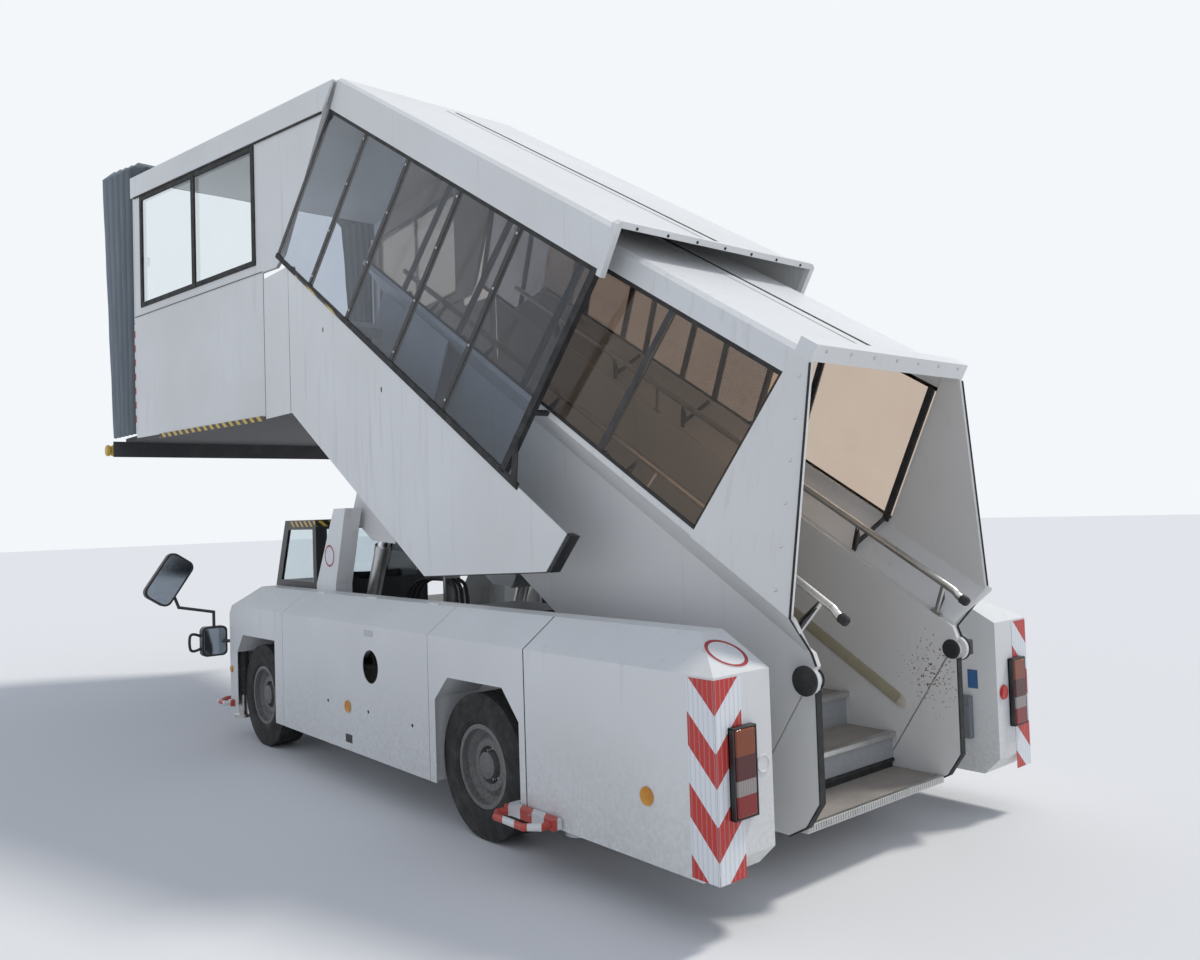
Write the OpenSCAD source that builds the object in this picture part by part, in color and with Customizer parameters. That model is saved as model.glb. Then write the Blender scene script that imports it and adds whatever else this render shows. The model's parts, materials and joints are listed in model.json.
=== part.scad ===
// Mobile aircraft stairs: a self-propelled chassis carries a covered
// telescopic stair flight and a platform cabin for the aircraft door.
// X runs from the cab end to the stair foot, Y to the vehicle's right.
// The ground is Z = 0. Body places count from the fairings' rear face.
// Flight places are a distance up the slope and a height square to it.

/* [Body] */
// Overall width over the side fairings
body_w = 2500; // [2400:5:2600]
// Length of the side fairings
body_l = 5330; // [5200:10:5600]
// Width of one fairing, from its outer face to its inner edge
fairing_w = 331; // [300:1:340]
// Height of the fairings' lower edge above the ground
fairing_low = 240; // [200:5:280]
// Height of the crease where the side turns into the slope
crease_z = 1050; // [1000:5:1100]
// Height of the flat top of the fairings
fairing_top = 1190; // [1160:5:1220]
// Width of the slope between the crease and the flat top
slope_w = 200; // [160:5:220]
// Sheet thickness of the fairings
sheet_t = 4; // [3:0.5:5]
// Width of the gap round a fairing door
door_gap = 6; // [5:0.5:8]
// Front edge of the fairing doors
door_x0 = -4250; // [-4280:5:-4220]
// Rear edge of the fairing doors
door_x1 = -2185; // [-2240:5:-2180]
// Front edge of the closed rear section of a fairing
rear_seam_x = -1265; // [-1280:5:-1240]
// Diameter of the round hole in each fairing door
port_d = 205; // [180:1:230]

/* [Chassis] */
// Distance from the centre to the outer face of a frame rail
rail_out = 740; // [720:5:750]
// Width of a frame rail
rail_w = 80; // [60:5:85]
// Height of a frame rail
rail_h = 140; // [120:5:160]
// Height of the rails' top face above the ground
rail_top = 620; // [600:5:640]
// Wall of a frame rail
rail_t = 8; // [6:1:10]

/* [Wheels] */
// Tyre radius
tyre_r = 384; // [370:1:390]
// Tyre width
tyre_w = 225; // [200:5:235]
// Rim radius at the bead
rim_r = 203; // [195:1:210]
// Place of the front axle
front_axle_x = -4785; // [-4800:5:-4770]
// Place of the rear axle
rear_axle_x = -1755; // [-1770:5:-1725]
// Distance from the centre to the middle of a tyre
track_half = 1087; // [1080:1:1092]
// Distance from the centre to a kingpin
kingpin_y = 930; // [915:1:940]
// Radius of the wheel stubs
stub_r = 25; // [22:1:28]
// Running clearance of every turning fit
run_gap = 0.05; // [0.02:0.01:0.09]

/* [Stair flight] */
// Slope of the flight at rest
slope = 31.5; // [31:0.1:32]
// Going of one step
going = 290; // [286:1:292]
// Place of the first nosing
nosing_x = -392; // [-396:1:-388]
// Height of the first nosing
nosing_z = 478; // [474:1:482]
// Number of risers of the lower flight above its first nosing
lower_risers = 12; // [12:1:12]
// Clear half width between the walls of the lower flight
stair_in = 559; // [550:1:565]
// Thickness of the lower flight's walls
wall_t = 40; // [30:1:45]
// Half width of the lower flight at its widest fold
lower_wide = 810; // [790:5:820]
// Half width of the lower flight's roof
lower_roof_w = 622; // [610:1:640]
// Half width of the upper flight at its sill
upper_wide = 980; // [970:1:990]
// Half width of the upper flight's roof
upper_roof_w = 790; // [780:1:800]
// Sheet thickness of the upper flight
upper_t = 6; // [4:1:8]
// Thickness of the window panes
pane_t = 5; // [4:0.5:6]
// Travel of the upper flight
travel = 1500; // [1400:10:1500]

/* [Platform] */
// Height of the platform floor
floor_z = 2620; // [2615:1:2625]
// Front edge of the platform's walls
plat_x0 = -7600; // [-7700:10:-7500]
// Corner where the platform's walls begin to flare
flare_x = -5190; // [-5230:5:-5150]
// Flare of the platform's side walls
flare = 8.5; // [8:0.1:9]
// Top of the platform's lower panels
panel_top = 3770; // [3740:5:3800]
// Height of the roof at its front end
roof_front_z = 5170; // [5150:5:5200]
// Height of the roof at the apex
roof_apex_z = 5030; // [5020:1:5040]
// Depth of the roof's edge board
fascia_h = 200; // [180:5:220]

/* [Hidden] */
$fn = 48;

half_w = body_w / 2;
ridge_y = half_w - slope_w;
inner_y = half_w - fairing_w;
rise = going * tan(slope);

// Flight coordinates of the main edges: height square to the slope
lower_s0 = 10;
fold_s = 890;
widest_s = 1075;
lower_glass_s = 1910;
lower_top_s = 2035;
upper_s0 = -250;
sill_s = 720;
upper_glass_s = 1920;
upper_top_s = 2160;
upper_nose_s = -29;

// Flight coordinates of the main edges: distance up the slope
ear_t = 1280;
lower_end_t = 5030;
upper_end_t = 2520;
tip_t = 1890;
glass_end_t = 6170;
upper_stringer_y = 585;

// Pivots
pivot_x = -550;
pivot_z = 680;
pivot_r = 25;
foot_x = -45;
foot_z = 950;
hinge_x = -4400;
hinge_z = 2575;
lift_y = 680;
base_x = -4134;
base_z = 700;
eye_x = -3714;
eye_z = 1660;

header_t = 1180;
header_h = 48;

function sx(t, s) = -t * cos(slope) + s * sin(slope);
function sz(t, s) = t * sin(slope) + s * cos(slope);
function ft(x, z) = -x * cos(slope) + z * sin(slope);
function fs(x, z) = x * sin(slope) + z * cos(slope);
function unit(v) = v / norm(v);
function left_of(v) = [-v[1], v[0]];
function shifted(p, t) = [for (i = [0:len(p) - 1])
  let (
    n = len(p),
    a = left_of(unit(p[max(i, 1)] - p[max(i, 1) - 1])),
    b = left_of(unit(p[min(i, n - 2) + 1] - p[min(i, n - 2)]))
  ) p[i] + (a + b) * t / (1 + a * b)];
function inset(p, t) = [for (i = [0:len(p) - 1])
  let (
    n = len(p),
    a = left_of(unit(p[i] - p[(i + n - 1) % n])),
    b = left_of(unit(p[(i + 1) % n] - p[i]))
  ) p[i] + (a + b) * t / (1 + a * b)];
function back(p) = [for (i = [len(p) - 1:-1:0]) p[i]];
function sheet(p, t) = concat(p, back(shifted(p, t)));

module place() translate([mid_x, 0, 0]) children();
module in_flight() rotate([0, slope, 0]) mirror([1, 0, 0]) children();
// Extrudes an outline of Y and Z from x0 to x1
module along_x(x0, x1) translate([x0, 0, 0]) rotate([90, 0, 90]) linear_extrude(x1 - x0) children();
// Extrudes an outline of X and Z from y0 to y1
module along_y(y0, y1) translate([0, y1, 0]) rotate([90, 0, 0]) linear_extrude(y1 - y0) children();
module both() {
  children();
  mirror([0, 1, 0]) children();
}
module box(x0, x1, y0, y1, z0, z1) translate([x0, y0, z0]) cube([x1 - x0, y1 - y0, z1 - z0]);
module rod_y(x, z, r, y0, y1) translate([x, y1, z]) rotate([90, 0, 0]) cylinder(r = r, h = y1 - y0);
module rod_x(y, z, r, x0, x1) translate([x0, y, z]) rotate([0, 90, 0]) cylinder(r = r, h = x1 - x0);
// A straight round bar between two points
module bar(a, b, r) {
  v = b - a;
  translate(a)
    rotate([0, acos(v[2] / norm(v)), atan2(v[1], v[0])])
      cylinder(r = r, h = norm(v));
}
// A round bar along a list of points, with a ball at each bend
module tube_path(p, r) {
  for (i = [0:len(p) - 2]) bar(p[i], p[i + 1], r);
  for (i = [1:len(p) - 2]) translate(p[i]) sphere(r = r * 1.08, $fn = 20);
}
module channel(w, h, t) difference() {
  square([w, h]);
  translate([-1, t]) square([w - t + 1, h - 2 * t]);
}

outrigger_w = 60;
outriggers = [-5300, -4045, -2360, -1150, -330];
cross_x = [-5300, -4150, -2360, -1060];

jack_places = [[-5278, -1170], [-5278, 1170], [-1120, -1050], [-1120, 1050]];
jack_r = 34;
module chassis_frame() place() color("dimgray") difference() {
  union() {
    both() along_x(-5300, -430)
      translate([rail_out - rail_w, rail_top - rail_h]) channel(rail_w, rail_h, rail_t);
    // Pivot brackets of the flight
    both() along_y(rail_out - rail_w, rail_out) union() {
      translate([pivot_x, pivot_z]) circle(r = 62);
      polygon([[pivot_x - 110, rail_top - 4], [pivot_x + 110, rail_top - 4],
        [pivot_x + 60, pivot_z], [pivot_x - 60, pivot_z]]);
    }
    for (x = cross_x)
      box(x, x + 60, -rail_out + rail_w - 4, rail_out - rail_w + 4, rail_top - rail_h, rail_top - rail_h + 80);
    both() for (i = [0:len(outriggers) - 1]) let (x = outriggers[i]) {
      box(x, x + outrigger_w, rail_out - 4, half_w - sheet_t - seat_gap, rail_top - rail_h, rail_top - rail_h + 60);
      if (i > 0) box(x + 10, x + 50, inner_y + 6, inner_y + 46, rail_top - rail_h + 50, fairing_top - sheet_t - seat_gap);
    }
    // Feet of the lift cylinders
    both() difference() {
      along_y(lift_y - 58, lift_y + 58) polygon([[base_x - 90, rail_top - 4], [base_x + 90, rail_top - 4],
        [base_x + 40, base_z + 27], [base_x - 40, base_z + 27]]);
      along_y(lift_y - 38, lift_y + 38) translate([base_x - 120, rail_top + 1]) square([240, 200]);
    }
    both() rod_y(base_x, base_z, 22, lift_y - 50, lift_y + 50);
    // Housings of the stabiliser jacks
    for (p = jack_places) translate([p[0], p[1], 330]) cylinder(r = jack_r + 11, h = 500);
  }
  both() rod_y(pivot_x, pivot_z, pivot_r + run_gap, rail_out - rail_w - 5, rail_out + 5);
  for (p = jack_places) translate([p[0], p[1], 320]) cylinder(r = jack_r + run_gap, h = 490);
}

jack_foot_z = 150;

module jack_leg(i) place() color("silver") translate([jack_places[i][0], jack_places[i][1], 0]) {
  translate([0, 0, jack_foot_z + 20]) cylinder(r = jack_r, h = 600);
  translate([0, 0, jack_foot_z]) cylinder(r = 68, h = 25);
}
module jack_leg_fl() jack_leg(0);
module jack_leg_fr() jack_leg(1);
module jack_leg_rl() jack_leg(2);
module jack_leg_rr() jack_leg(3);

module spring(x) both() {
  for (i = [0:3])
    box(x - 460 + 90 * i, x + 460 - 90 * i, rail_out - 75, rail_out - 5,
      tyre_r + 62 - 10 * i - 10, tyre_r + 62 - 10 * i);
  for (k = [-1, 1])
    box(x + k * 430 - 25, x + k * 430 + 25, rail_out - 75, rail_out - 5, tyre_r + 62, rail_top - rail_h);
  box(x - 50, x + 50, rail_out - 75, rail_out - 5, tyre_r + 12, tyre_r + 24);
}

module front_axle() place() color("dimgray") {
  spring(front_axle_x);
  box(front_axle_x - 45, front_axle_x + 45, -kingpin_y + 50, kingpin_y - 50, tyre_r - 68, tyre_r + 12);
  both() {
    for (z = [tyre_r - 112, tyre_r + 78])
      box(front_axle_x - 40, front_axle_x + 40, kingpin_y - 90, kingpin_y + 35, z, z + 34);
    box(front_axle_x - 40, front_axle_x + 40, kingpin_y - 90, kingpin_y - 50, tyre_r - 112, tyre_r + 112);
    translate([front_axle_x, kingpin_y, tyre_r - 112]) cylinder(r = 20, h = 224);
  }
}

module knuckle() {
  difference() {
    union() {
      translate([front_axle_x, kingpin_y, tyre_r - 76]) cylinder(r = 36, h = 152);
      rod_y(front_axle_x, tyre_r, 34, kingpin_y + 20, track_half - 42);
      rod_y(front_axle_x, tyre_r, stub_r, kingpin_y + 20, track_half + 40);
    }
    translate([front_axle_x, kingpin_y, tyre_r - 100]) cylinder(r = 20 + run_gap, h = 200);
  }
}
module knuckle_left() place() color("dimgray") mirror([0, 1, 0]) knuckle();
module knuckle_right() place() color("dimgray") knuckle();

module rear_axle() place() color("dimgray") {
  spring(rear_axle_x);
  rod_y(rear_axle_x, tyre_r, 50, -(track_half - 100), track_half - 100);
  both() {
    rod_y(rear_axle_x, tyre_r, 34, track_half - 101, track_half - 42);
    rod_y(rear_axle_x, tyre_r, stub_r, track_half - 43, track_half + 40);
    box(rear_axle_x - 50, rear_axle_x + 50, rail_out - 75, rail_out - 5, tyre_r - 20, tyre_r + 15);
  }
  translate([rear_axle_x, 0, tyre_r]) sphere(r = 150);
  rod_x(0, tyre_r, 60, rear_axle_x - 300, rear_axle_x);
}

module tyre() rotate([90, 0, 0]) rotate_extrude($fn = 64) polygon([
  [rim_r + 1, -84], [rim_r + 19, -90.5], [rim_r + 24, -104], [rim_r + 90, -tyre_w / 2], [tyre_r - 45, -tyre_w / 2 + 3],
  [tyre_r - 12, -tyre_w / 2 + 18], [tyre_r, -tyre_w / 2 + 45], [tyre_r, tyre_w / 2 - 45],
  [tyre_r - 12, tyre_w / 2 - 18], [tyre_r - 45, tyre_w / 2 - 3], [rim_r + 90, tyre_w / 2],
  [rim_r + 24, 104], [rim_r + 19, 90.5], [rim_r + 1, 84], [rim_r + 20, 78], [tyre_r - 60, 92], [tyre_r - 25, 60],
  [tyre_r - 25, -60], [tyre_r - 60, -92], [rim_r + 20, -78]]);
module rim() rotate([-90, 0, 0]) {
  rotate_extrude($fn = 64) polygon([
    [rim_r + 18, -98], [rim_r + 18, -92], [rim_r, -86], [rim_r, -60], [rim_r - 18, -40],
    [rim_r - 18, 40], [rim_r, 60], [rim_r, 86], [rim_r + 18, 92], [rim_r + 18, 98],
    [rim_r - 6, 98], [rim_r - 10, 62], [rim_r - 26, 44], [rim_r - 40, 30],
    [135, 52], [100, 52], [92, 8], [70, 8], [70, 70], [40, 78], [0, 78], [0, 62], [40, 62],
    [stub_r + run_gap, 42], [stub_r + run_gap, -40], [70, -40], [70, -6], [104, -6],
    [114, 38], [132, 38], [rim_r - 46, 18], [rim_r - 28, -40], [rim_r - 10, -62], [rim_r - 6, -98]]);
}
module tyre_at(x, y) place() color("black") translate([x, y, tyre_r]) tyre();
module rim_at(x, side) place() color("silver")
  if (side > 0) translate([x, track_half, tyre_r]) rim();
  else mirror([0, 1, 0]) translate([x, track_half, tyre_r]) rim();
module tyre_fl() tyre_at(front_axle_x, -track_half);
module tyre_fr() tyre_at(front_axle_x, track_half);
module tyre_rl() tyre_at(rear_axle_x, -track_half);
module tyre_rr() tyre_at(rear_axle_x, track_half);
module rim_fl() rim_at(front_axle_x, -1);
module rim_fr() rim_at(front_axle_x, 1);
module rim_rl() rim_at(rear_axle_x, -1);
module rim_rr() rim_at(rear_axle_x, 1);

module engine_block() place() color("dimgray") {
  box(-3560, -2760, -330, 330, rail_top - 60, 1040);
  for (y = [-400, 340]) for (x = [-3500, -2880])
    box(x, x + 60, y, y + 60, rail_top - 60, rail_top);
  both() for (x = [-3500, -2880]) box(x, x + 60, 330, rail_out - rail_w, rail_top - 60, rail_top - 40);
}

module hydraulic_tank() place() color("gray") {
  difference() {
    box(-3450, -3000, 830, 1180, rail_top - rail_h + 60, 960);
    box(-3446, -3004, 834, 1176, rail_top - rail_h + 64, 956);
  }
  translate([-3330, 1000, 955]) cylinder(r = 45, h = 40);
  box(-3400, -3360, rail_out, 1100, rail_top - rail_h + 20, rail_top - rail_h + 60);
  box(-3090, -3050, rail_out, 1100, rail_top - rail_h + 20, rail_top - rail_h + 60);
}

// Outlines of a fairing: across and along the vehicle
fairing_section = [[inner_y, fairing_low], [half_w, fairing_low], [half_w, crease_z],
  [ridge_y, fairing_top], [inner_y, fairing_top]];
fairing_side = [[-body_l, fairing_low], [-90, fairing_low], [0, fairing_low + 90], [0, crease_z],
  [-250, fairing_top], [-body_l + 180, fairing_top], [-body_l, 980]];
front_arch = [[-5170, 0], [-4400, 0], [-4400, 837], [-5040, 830], [-5170, 683]];
rear_arch = [[-2118, 0], [-1318, 0], [-1318, 689], [-1458, 841], [-1978, 835], [-2118, 700]];

module fairing_solid(t) intersection() {
  along_x(-body_l, 0) polygon(inset(fairing_section, t));
  along_y(inner_y - 10, half_w + 10) polygon(inset(fairing_side, t));
}
module fairing_skin() difference() {
  fairing_solid(0);
  fairing_solid(sheet_t);
  box(-body_l + sheet_t, -90, inner_y + sheet_t, half_w - sheet_t, 0, fairing_low + 20);
  // The inner wall closes only the rear section
  box(-body_l - 1, rear_seam_x, inner_y - 1, inner_y + sheet_t + 1, 0, fairing_top - sheet_t);
  along_y(half_w - sheet_t - 10, half_w + 10) polygon(front_arch);
  along_y(half_w - sheet_t - 10, half_w + 10) polygon(rear_arch);
  for (x = outriggers) box(x - 3, x + outrigger_w + 3, inner_y - 5, inner_y + sheet_t + 5,
    rail_top - rail_h - 3, rail_top - rail_h + 63);
}
module door_zone(g) along_x(door_x0 + g, door_x1 - g) polygon([
  [ridge_y + g * 0.2, fairing_top + 10], [half_w + 30, fairing_top + 10],
  [half_w + 30, 0], [half_w - 60, 0], [half_w - 60, crease_z - 10], [ridge_y + g * 0.2, fairing_top - 14]]);

door_hinges = [door_x0 + 250, (door_x0 + door_x1) / 2, door_x1 - 250];

module fairing() {
  difference() {
    fairing_skin();
    door_zone(-door_gap / 2);
    // Seams of the rear section
    along_y(half_w - 2, half_w + 10) translate([rear_seam_x - 4, 0]) square([8, 1300]);
    // Room for the door's knuckles
    for (x = door_hinges) rod_x(ridge_y, fairing_top, 11, x - 62, x + 62);
  }
  // Linings over the wheels
  along_y(inner_y + 10, half_w - sheet_t / 2) polygon(sheet([[-2160, fairing_low], [-2160, 702], [-1990, 838],
    [-1457, 844], [-1315, 690], [-1315, fairing_low]], 4));
  along_y(inner_y + 10, inner_y + 14) polygon([[-2160, 570], [-2160, 702], [-1990, 838], [-1457, 844],
    [-1315, 690], [-1315, 570]]);
  along_y(inner_y + 10, half_w - sheet_t / 2) polygon(sheet([[-5174, 684], [-5043, 833], [-4398, 840]], 4));
  for (x = door_hinges) difference() {
    union() {
      rod_x(ridge_y, fairing_top, 3.9, x - 60, x + 60);
      for (k = [-60, 32]) rod_x(ridge_y, fairing_top, 8, x + k, x + k + 28);
      box(x - 60, x - 32, ridge_y - 24, ridge_y, fairing_top - 4, fairing_top);
      box(x + 32, x + 60, ridge_y - 24, ridge_y, fairing_top - 4, fairing_top);
    }
  }
}
module door() difference() {
  union() {
    intersection() {
      fairing_skin();
      door_zone(door_gap / 2);
    }
    for (x = door_hinges) {
      rod_x(ridge_y, fairing_top, 8, x - 30, x + 30);
      along_x(x - 30, x + 30) polygon(sheet([[ridge_y, fairing_top - 2],
        [ridge_y + 40, fairing_top - 2 - 40 * (fairing_top - crease_z) / slope_w]], -5));
    }
  }
  box(-3250, -3150, half_w - 10, half_w + 10, 288, 342);
  for (x = door_hinges) {
    rod_x(ridge_y, fairing_top, 4, x - 40, x + 40);
    for (k = [-62, 31]) rod_x(ridge_y, fairing_top, 9.5, x + k, x + k + 31);
  }
  rod_y(-2884, 800, port_d / 2, half_w - 20, half_w + 20);
}
module fairing_right() place() color("white") fairing();
module fairing_left() place() color("white") mirror([0, 1, 0]) fairing();
module door_right() place() color("white") door();
module door_left() place() color("white") mirror([0, 1, 0]) door();

module front_panel() place() color("white") {
  difference() {
    box(-body_l, -body_l + 25, -inner_y, inner_y, 330, 985);
    for (y = [-700, 700]) translate([-body_l - 1, y, 640]) rotate([0, 90, 0]) cylinder(r = 85, h = 30);
  }
  box(-body_l - 60, -body_l, -inner_y, inner_y, 420, 560);
  // Towing jaw
  difference() {
    box(-body_l - 190, -body_l - 60, -60, 60, 430, 550);
    box(-body_l - 200, -body_l - 80, -70, 70, 465, 515);
    translate([-body_l - 140, 0, 400]) cylinder(r = 20, h = 200);
  }
}

module front_deck() place() color("dimgray")
  along_x(-5215, -4400) polygon(sheet([[70, rail_top + seat_gap], [750, rail_top + seat_gap], [750, 800],
    [inner_y - seat_gap, 800]], 6));

cab_x0 = -5250;
cab_x1 = -4420;
cab_y0 = -905;
cab_y1 = 50;
cab_roof_z = 1715;
cab_top_x = -4990;
cab_sill = 1195;

cab_t = 25;
cab_front = cab_x0 + 36;
cab_brow = 1190;
cab_floor = 470;
cab_tub_y = -645;
cab_outline = [[cab_front, 800], [cab_x1, 800], [cab_x1, cab_roof_z], [cab_top_x - 10, cab_roof_z],
  [cab_front, cab_brow]];
function on_screen(h) = cab_front + (h - cab_brow) * (cab_top_x - 10 - cab_front) / (cab_roof_z - cab_brow);
screen_z = [1232, 1660];
side_window = [[on_screen(1240) + 90, 1240], [cab_x1 - 60, 1240], [cab_x1 - 60, 1640], [on_screen(1640) + 90, 1640]];
rear_window = [[cab_y0 + 90, 1240], [cab_y1 - 90, 1240], [cab_y1 - 90, 1640], [cab_y0 + 90, 1640]];
door_outline = [[cab_front + 60, 640], [cab_x1 - 46, 640], [cab_x1 - 46, cab_roof_z - 45],
  [on_screen(cab_roof_z - 45) + 60, cab_roof_z - 45], [cab_front + 60, cab_brow + 20]];

module cab_shell() place() color("white") difference() {
  union() {
    along_y(cab_y0, cab_y1) polygon(cab_outline);
    box(cab_front, cab_x1, cab_tub_y, cab_y1, cab_floor, 820);
  }
  along_y(cab_y0 + cab_t, cab_y1 - cab_t) polygon(inset(cab_outline, cab_t));
  box(cab_front + cab_t, cab_x1 - cab_t, cab_tub_y + cab_t, cab_y1 - cab_t, cab_floor + cab_t, 840);
  along_y(cab_y0 + 45, cab_y1 - 45) polygon([for (q = [[0, -40], [0, 60], [1, 60], [1, -40]])
    [on_screen(screen_z[q[0]]) + q[1], screen_z[q[0]]]]);
  along_y(cab_y0 - 5, cab_y0 + cab_t + 5) polygon(side_window);
  along_x(cab_x1 - cab_t - 5, cab_x1 + 5) polygon(rear_window);
  along_y(cab_y1 - cab_t - 5, cab_y1 + 5) polygon(door_outline);
  for (z = [816, 1476]) translate([cab_x1 - 43, cab_y1, z]) cylinder(r = 11, h = 98);
}
module cab_glass() place() color("lightblue", 0.4) {
  along_y(cab_y0 + 45.3, cab_y1 - 45.3) polygon([for (q = [[0, 8], [0, 14], [1, 14], [1, 8]])
    [on_screen(screen_z[q[0]] + (q[0] == 0 ? seat_gap : -seat_gap)) + q[1], screen_z[q[0]] + (q[0] == 0 ? seat_gap : -seat_gap)]]);
  along_y(cab_y0 + 10, cab_y0 + 15) polygon(inset(side_window, seat_gap));
  along_x(cab_x1 - 15, cab_x1 - 10) polygon(inset(rear_window, seat_gap));
}
door_pin_x = cab_x1 - 43;
module cab_door() place() color("white") {
  for (z = [820, 1480]) {
    translate([door_pin_x, cab_y1, z]) cylinder(r = 9, h = 90);
    box(door_pin_x - 26, door_pin_x, cab_y1 - 1, cab_y1 + 9, z, z + 90);
  }
  difference() {
    along_y(cab_y1 - cab_t, cab_y1) polygon(inset(door_outline, 5));
    along_y(cab_y1 - cab_t - 5, cab_y1 + 5) polygon([[cab_front + 110, 1000], [cab_x1 - 96, 1000],
      [cab_x1 - 96, cab_roof_z - 90], [on_screen(cab_roof_z - 90) + 115, cab_roof_z - 90], [cab_front + 110, cab_brow + 30]]);
  }
  along_y(cab_y1 - 15, cab_y1 - 10) polygon([[cab_front + 109, 999], [cab_x1 - 95, 999],
    [cab_x1 - 95, cab_roof_z - 89], [on_screen(cab_roof_z - 90) + 114, cab_roof_z - 89], [cab_front + 109, cab_brow + 30]]);
}
module cab_seat() place() color("black") {
  box(-4820, -4450, -600, -160, 740, 840);
  box(-4520, -4446, -600, -160, 839, 1300);
  box(-4760, -4520, -520, -240, cab_floor + cab_t, 741);
}
module cab_controls() place() color("black") {
  bar([-5120, -380, cab_floor + cab_t + 6], [-5010, -380, 1060], 25);
  translate([-5010, -380, 1060]) rotate([0, 12, 0]) rotate_extrude() translate([158, 0]) circle(r = 14, $fn = 24);
  translate([-5010, -380, 1060]) rotate([0, 12, 0]) for (a = [0:120:240])
    rotate([0, 0, a]) rod_x(0, 0, 10, 0, 157);
  box(cab_front + cab_t + 1, -5100, cab_y0 + cab_t + 1, cab_y1 - cab_t - 1, 860, 1120);
}

module pillars() place() color("white") both() {
  difference() {
    along_y(790, 918.5) polygon([[-4368, rail_top - 80], [-4060, rail_top - 80], [-4060, 1235],
      [-3880, 1790], [-4070, 1790], [-4390, 1230], [-4390, 800], [-4368, 760]]);
    along_y(796, 912) polygon([[-4362, 0], [-4066, 0], [-4066, 1236], [-3888, 1784], [-4066, 1784],
      [-4384, 1229], [-4384, 802], [-4362, 762]]);
  }
  box(-4300, -4200, rail_out, 800, rail_top - 80, rail_top - 20);
}

// A plate with rounded corners, in the plane of Y and Z
module rounded(w, h, r) {
  square([w - 2 * r, h], center = true);
  square([w, h - 2 * r], center = true);
  for (x = [-1, 1]) for (y = [-1, 1]) translate([x * (w / 2 - r), y * (h / 2 - r)]) circle(r = r);
}
module mirror_arm() {
  box(-body_l - 26, -body_l - seat_gap, 1100, 1160, 700, 800);
  tube_path([[-body_l - 18, 1130, 750], [-body_l - 160, 1290, 750]], 13);
  // Lower mirror
  along_x(-body_l - 200, -body_l - 130) translate([1325, 755]) rounded(200, 240, 40);
  // Upper mirror on its bent arm
  tube_path([[-body_l - 165, 1320, 850], [-body_l - 165, 1320, 990], [-body_l - 270, 1560, 1040],
    [-body_l - 270, 1612, 1180]], 12);
  translate([-body_l - 270, 1635, 1270]) rotate([34, 0, 0]) along_x(-28, 28) rounded(230, 410, 60);
}
module mirror_right() place() color("black") mirror_arm();
module mirror_left() place() color("black") mirror([0, 1, 0]) mirror_arm();

module lamps() place() color("red") both() {
  box(0, 12, 1043, 1179, 488, 845);
  translate([0, 977, 668]) rotate([0, 90, 0]) cylinder(r = 32, h = 8);
  for (x = [-3200, -400]) rod_y(x, 520, 38, half_w, half_w + 8);
  translate([-body_l + 10, 700, 640]) rotate([0, -90, 0]) cylinder(r = 79, h = 14);
}

// Bows beside the rear wheels come out through the wheel arches
bow_z = 275;
bow_x = rear_axle_x + tyre_r + 12;
module guard_bows() place() color("silver") both() {
  box(bow_x, bow_x + 36, rail_out + seat_gap, half_w + 70, bow_z - 25, bow_z + 25);
  box(bow_x, bow_x + 380, half_w + 10, half_w + 62, bow_z - 24, bow_z + 24);
  box(bow_x, bow_x + 36, rail_out + seat_gap, rail_out + 60, bow_z, rail_top - rail_h + 40);
  tube_path([[bow_x + 18, half_w + 50, bow_z], [bow_x + 18, half_w + 120, bow_z], [bow_x + 70, half_w + 165, bow_z],
    [bow_x + 290, half_w + 165, bow_z], [bow_x + 350, half_w + 110, bow_z], [bow_x + 350, half_w + 50, bow_z]], 17);
  // Bows at the front corners
  box(-body_l - 20, -body_l - seat_gap, 940, 1000, 250, 330);
  tube_path([[-body_l - 8, 970, bow_z], [-body_l - 110, 1000, bow_z], [-body_l - 170, 1080, bow_z],
    [-body_l - 170, 1230, bow_z], [-body_l - 110, 1310, bow_z], [-body_l + 40, 1310, bow_z],
    [-body_l + 60, half_w + 20, bow_z]], 17);
  box(-body_l + 30, -body_l + 90, half_w + seat_gap, half_w + 30, bow_z - 25, bow_z + 25);
}

// Lift cylinders, from a foot on each rail to the lower flight
lift_v = [eye_x - base_x, eye_z - base_z];
lift_len = norm(lift_v);
lift_lean = atan2(lift_v[0], lift_v[1]);
lift_bore = 42;
module in_lift() translate([base_x, lift_y, base_z]) rotate([0, lift_lean, 0]) children();
module lift_barrel() in_lift() difference() {
  union() {
    translate([0, 0, 45]) cylinder(r = 52, h = 800);
    translate([0, 0, 835]) cylinder(r = 56, h = 50);
    translate([-40, -34, -5]) cube([80, 68, 60]);
    rod_y(0, 0, 40, -34, 34);
  }
  translate([0, 0, 60]) cylinder(r = lift_bore + run_gap, h = 900);
  rod_y(0, 0, 22 + run_gap, -60, 60);
}
module lift_rod() in_lift() difference() {
  union() {
    translate([0, 0, 80]) cylinder(r = lift_bore, h = lift_len - 115);
    rod_y(0, lift_len, 48, -26, 26);
  }
  rod_y(0, lift_len, 30, -60, 60);
}
module lift_barrel_right() place() color("dimgray") lift_barrel();
module lift_barrel_left() place() color("dimgray") mirror([0, 1, 0]) lift_barrel();
module lift_rod_right() place() color("silver") lift_rod();
module lift_rod_left() place() color("silver") mirror([0, 1, 0]) lift_rod();

// Lower flight
lower_out = stair_in + wall_t;
seam_top = [-12, 1010];
seam_low = [-470, 292];
lower_wall_outline = [[foot_x + 12, 1064], seam_top, seam_low,
  [sx(lower_end_t, lower_s0), sz(lower_end_t, lower_s0)], [sx(lower_end_t, fold_s), sz(lower_end_t, fold_s)]];
hub_r = 40;
ear_top_s = lower_top_s - 30;

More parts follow.
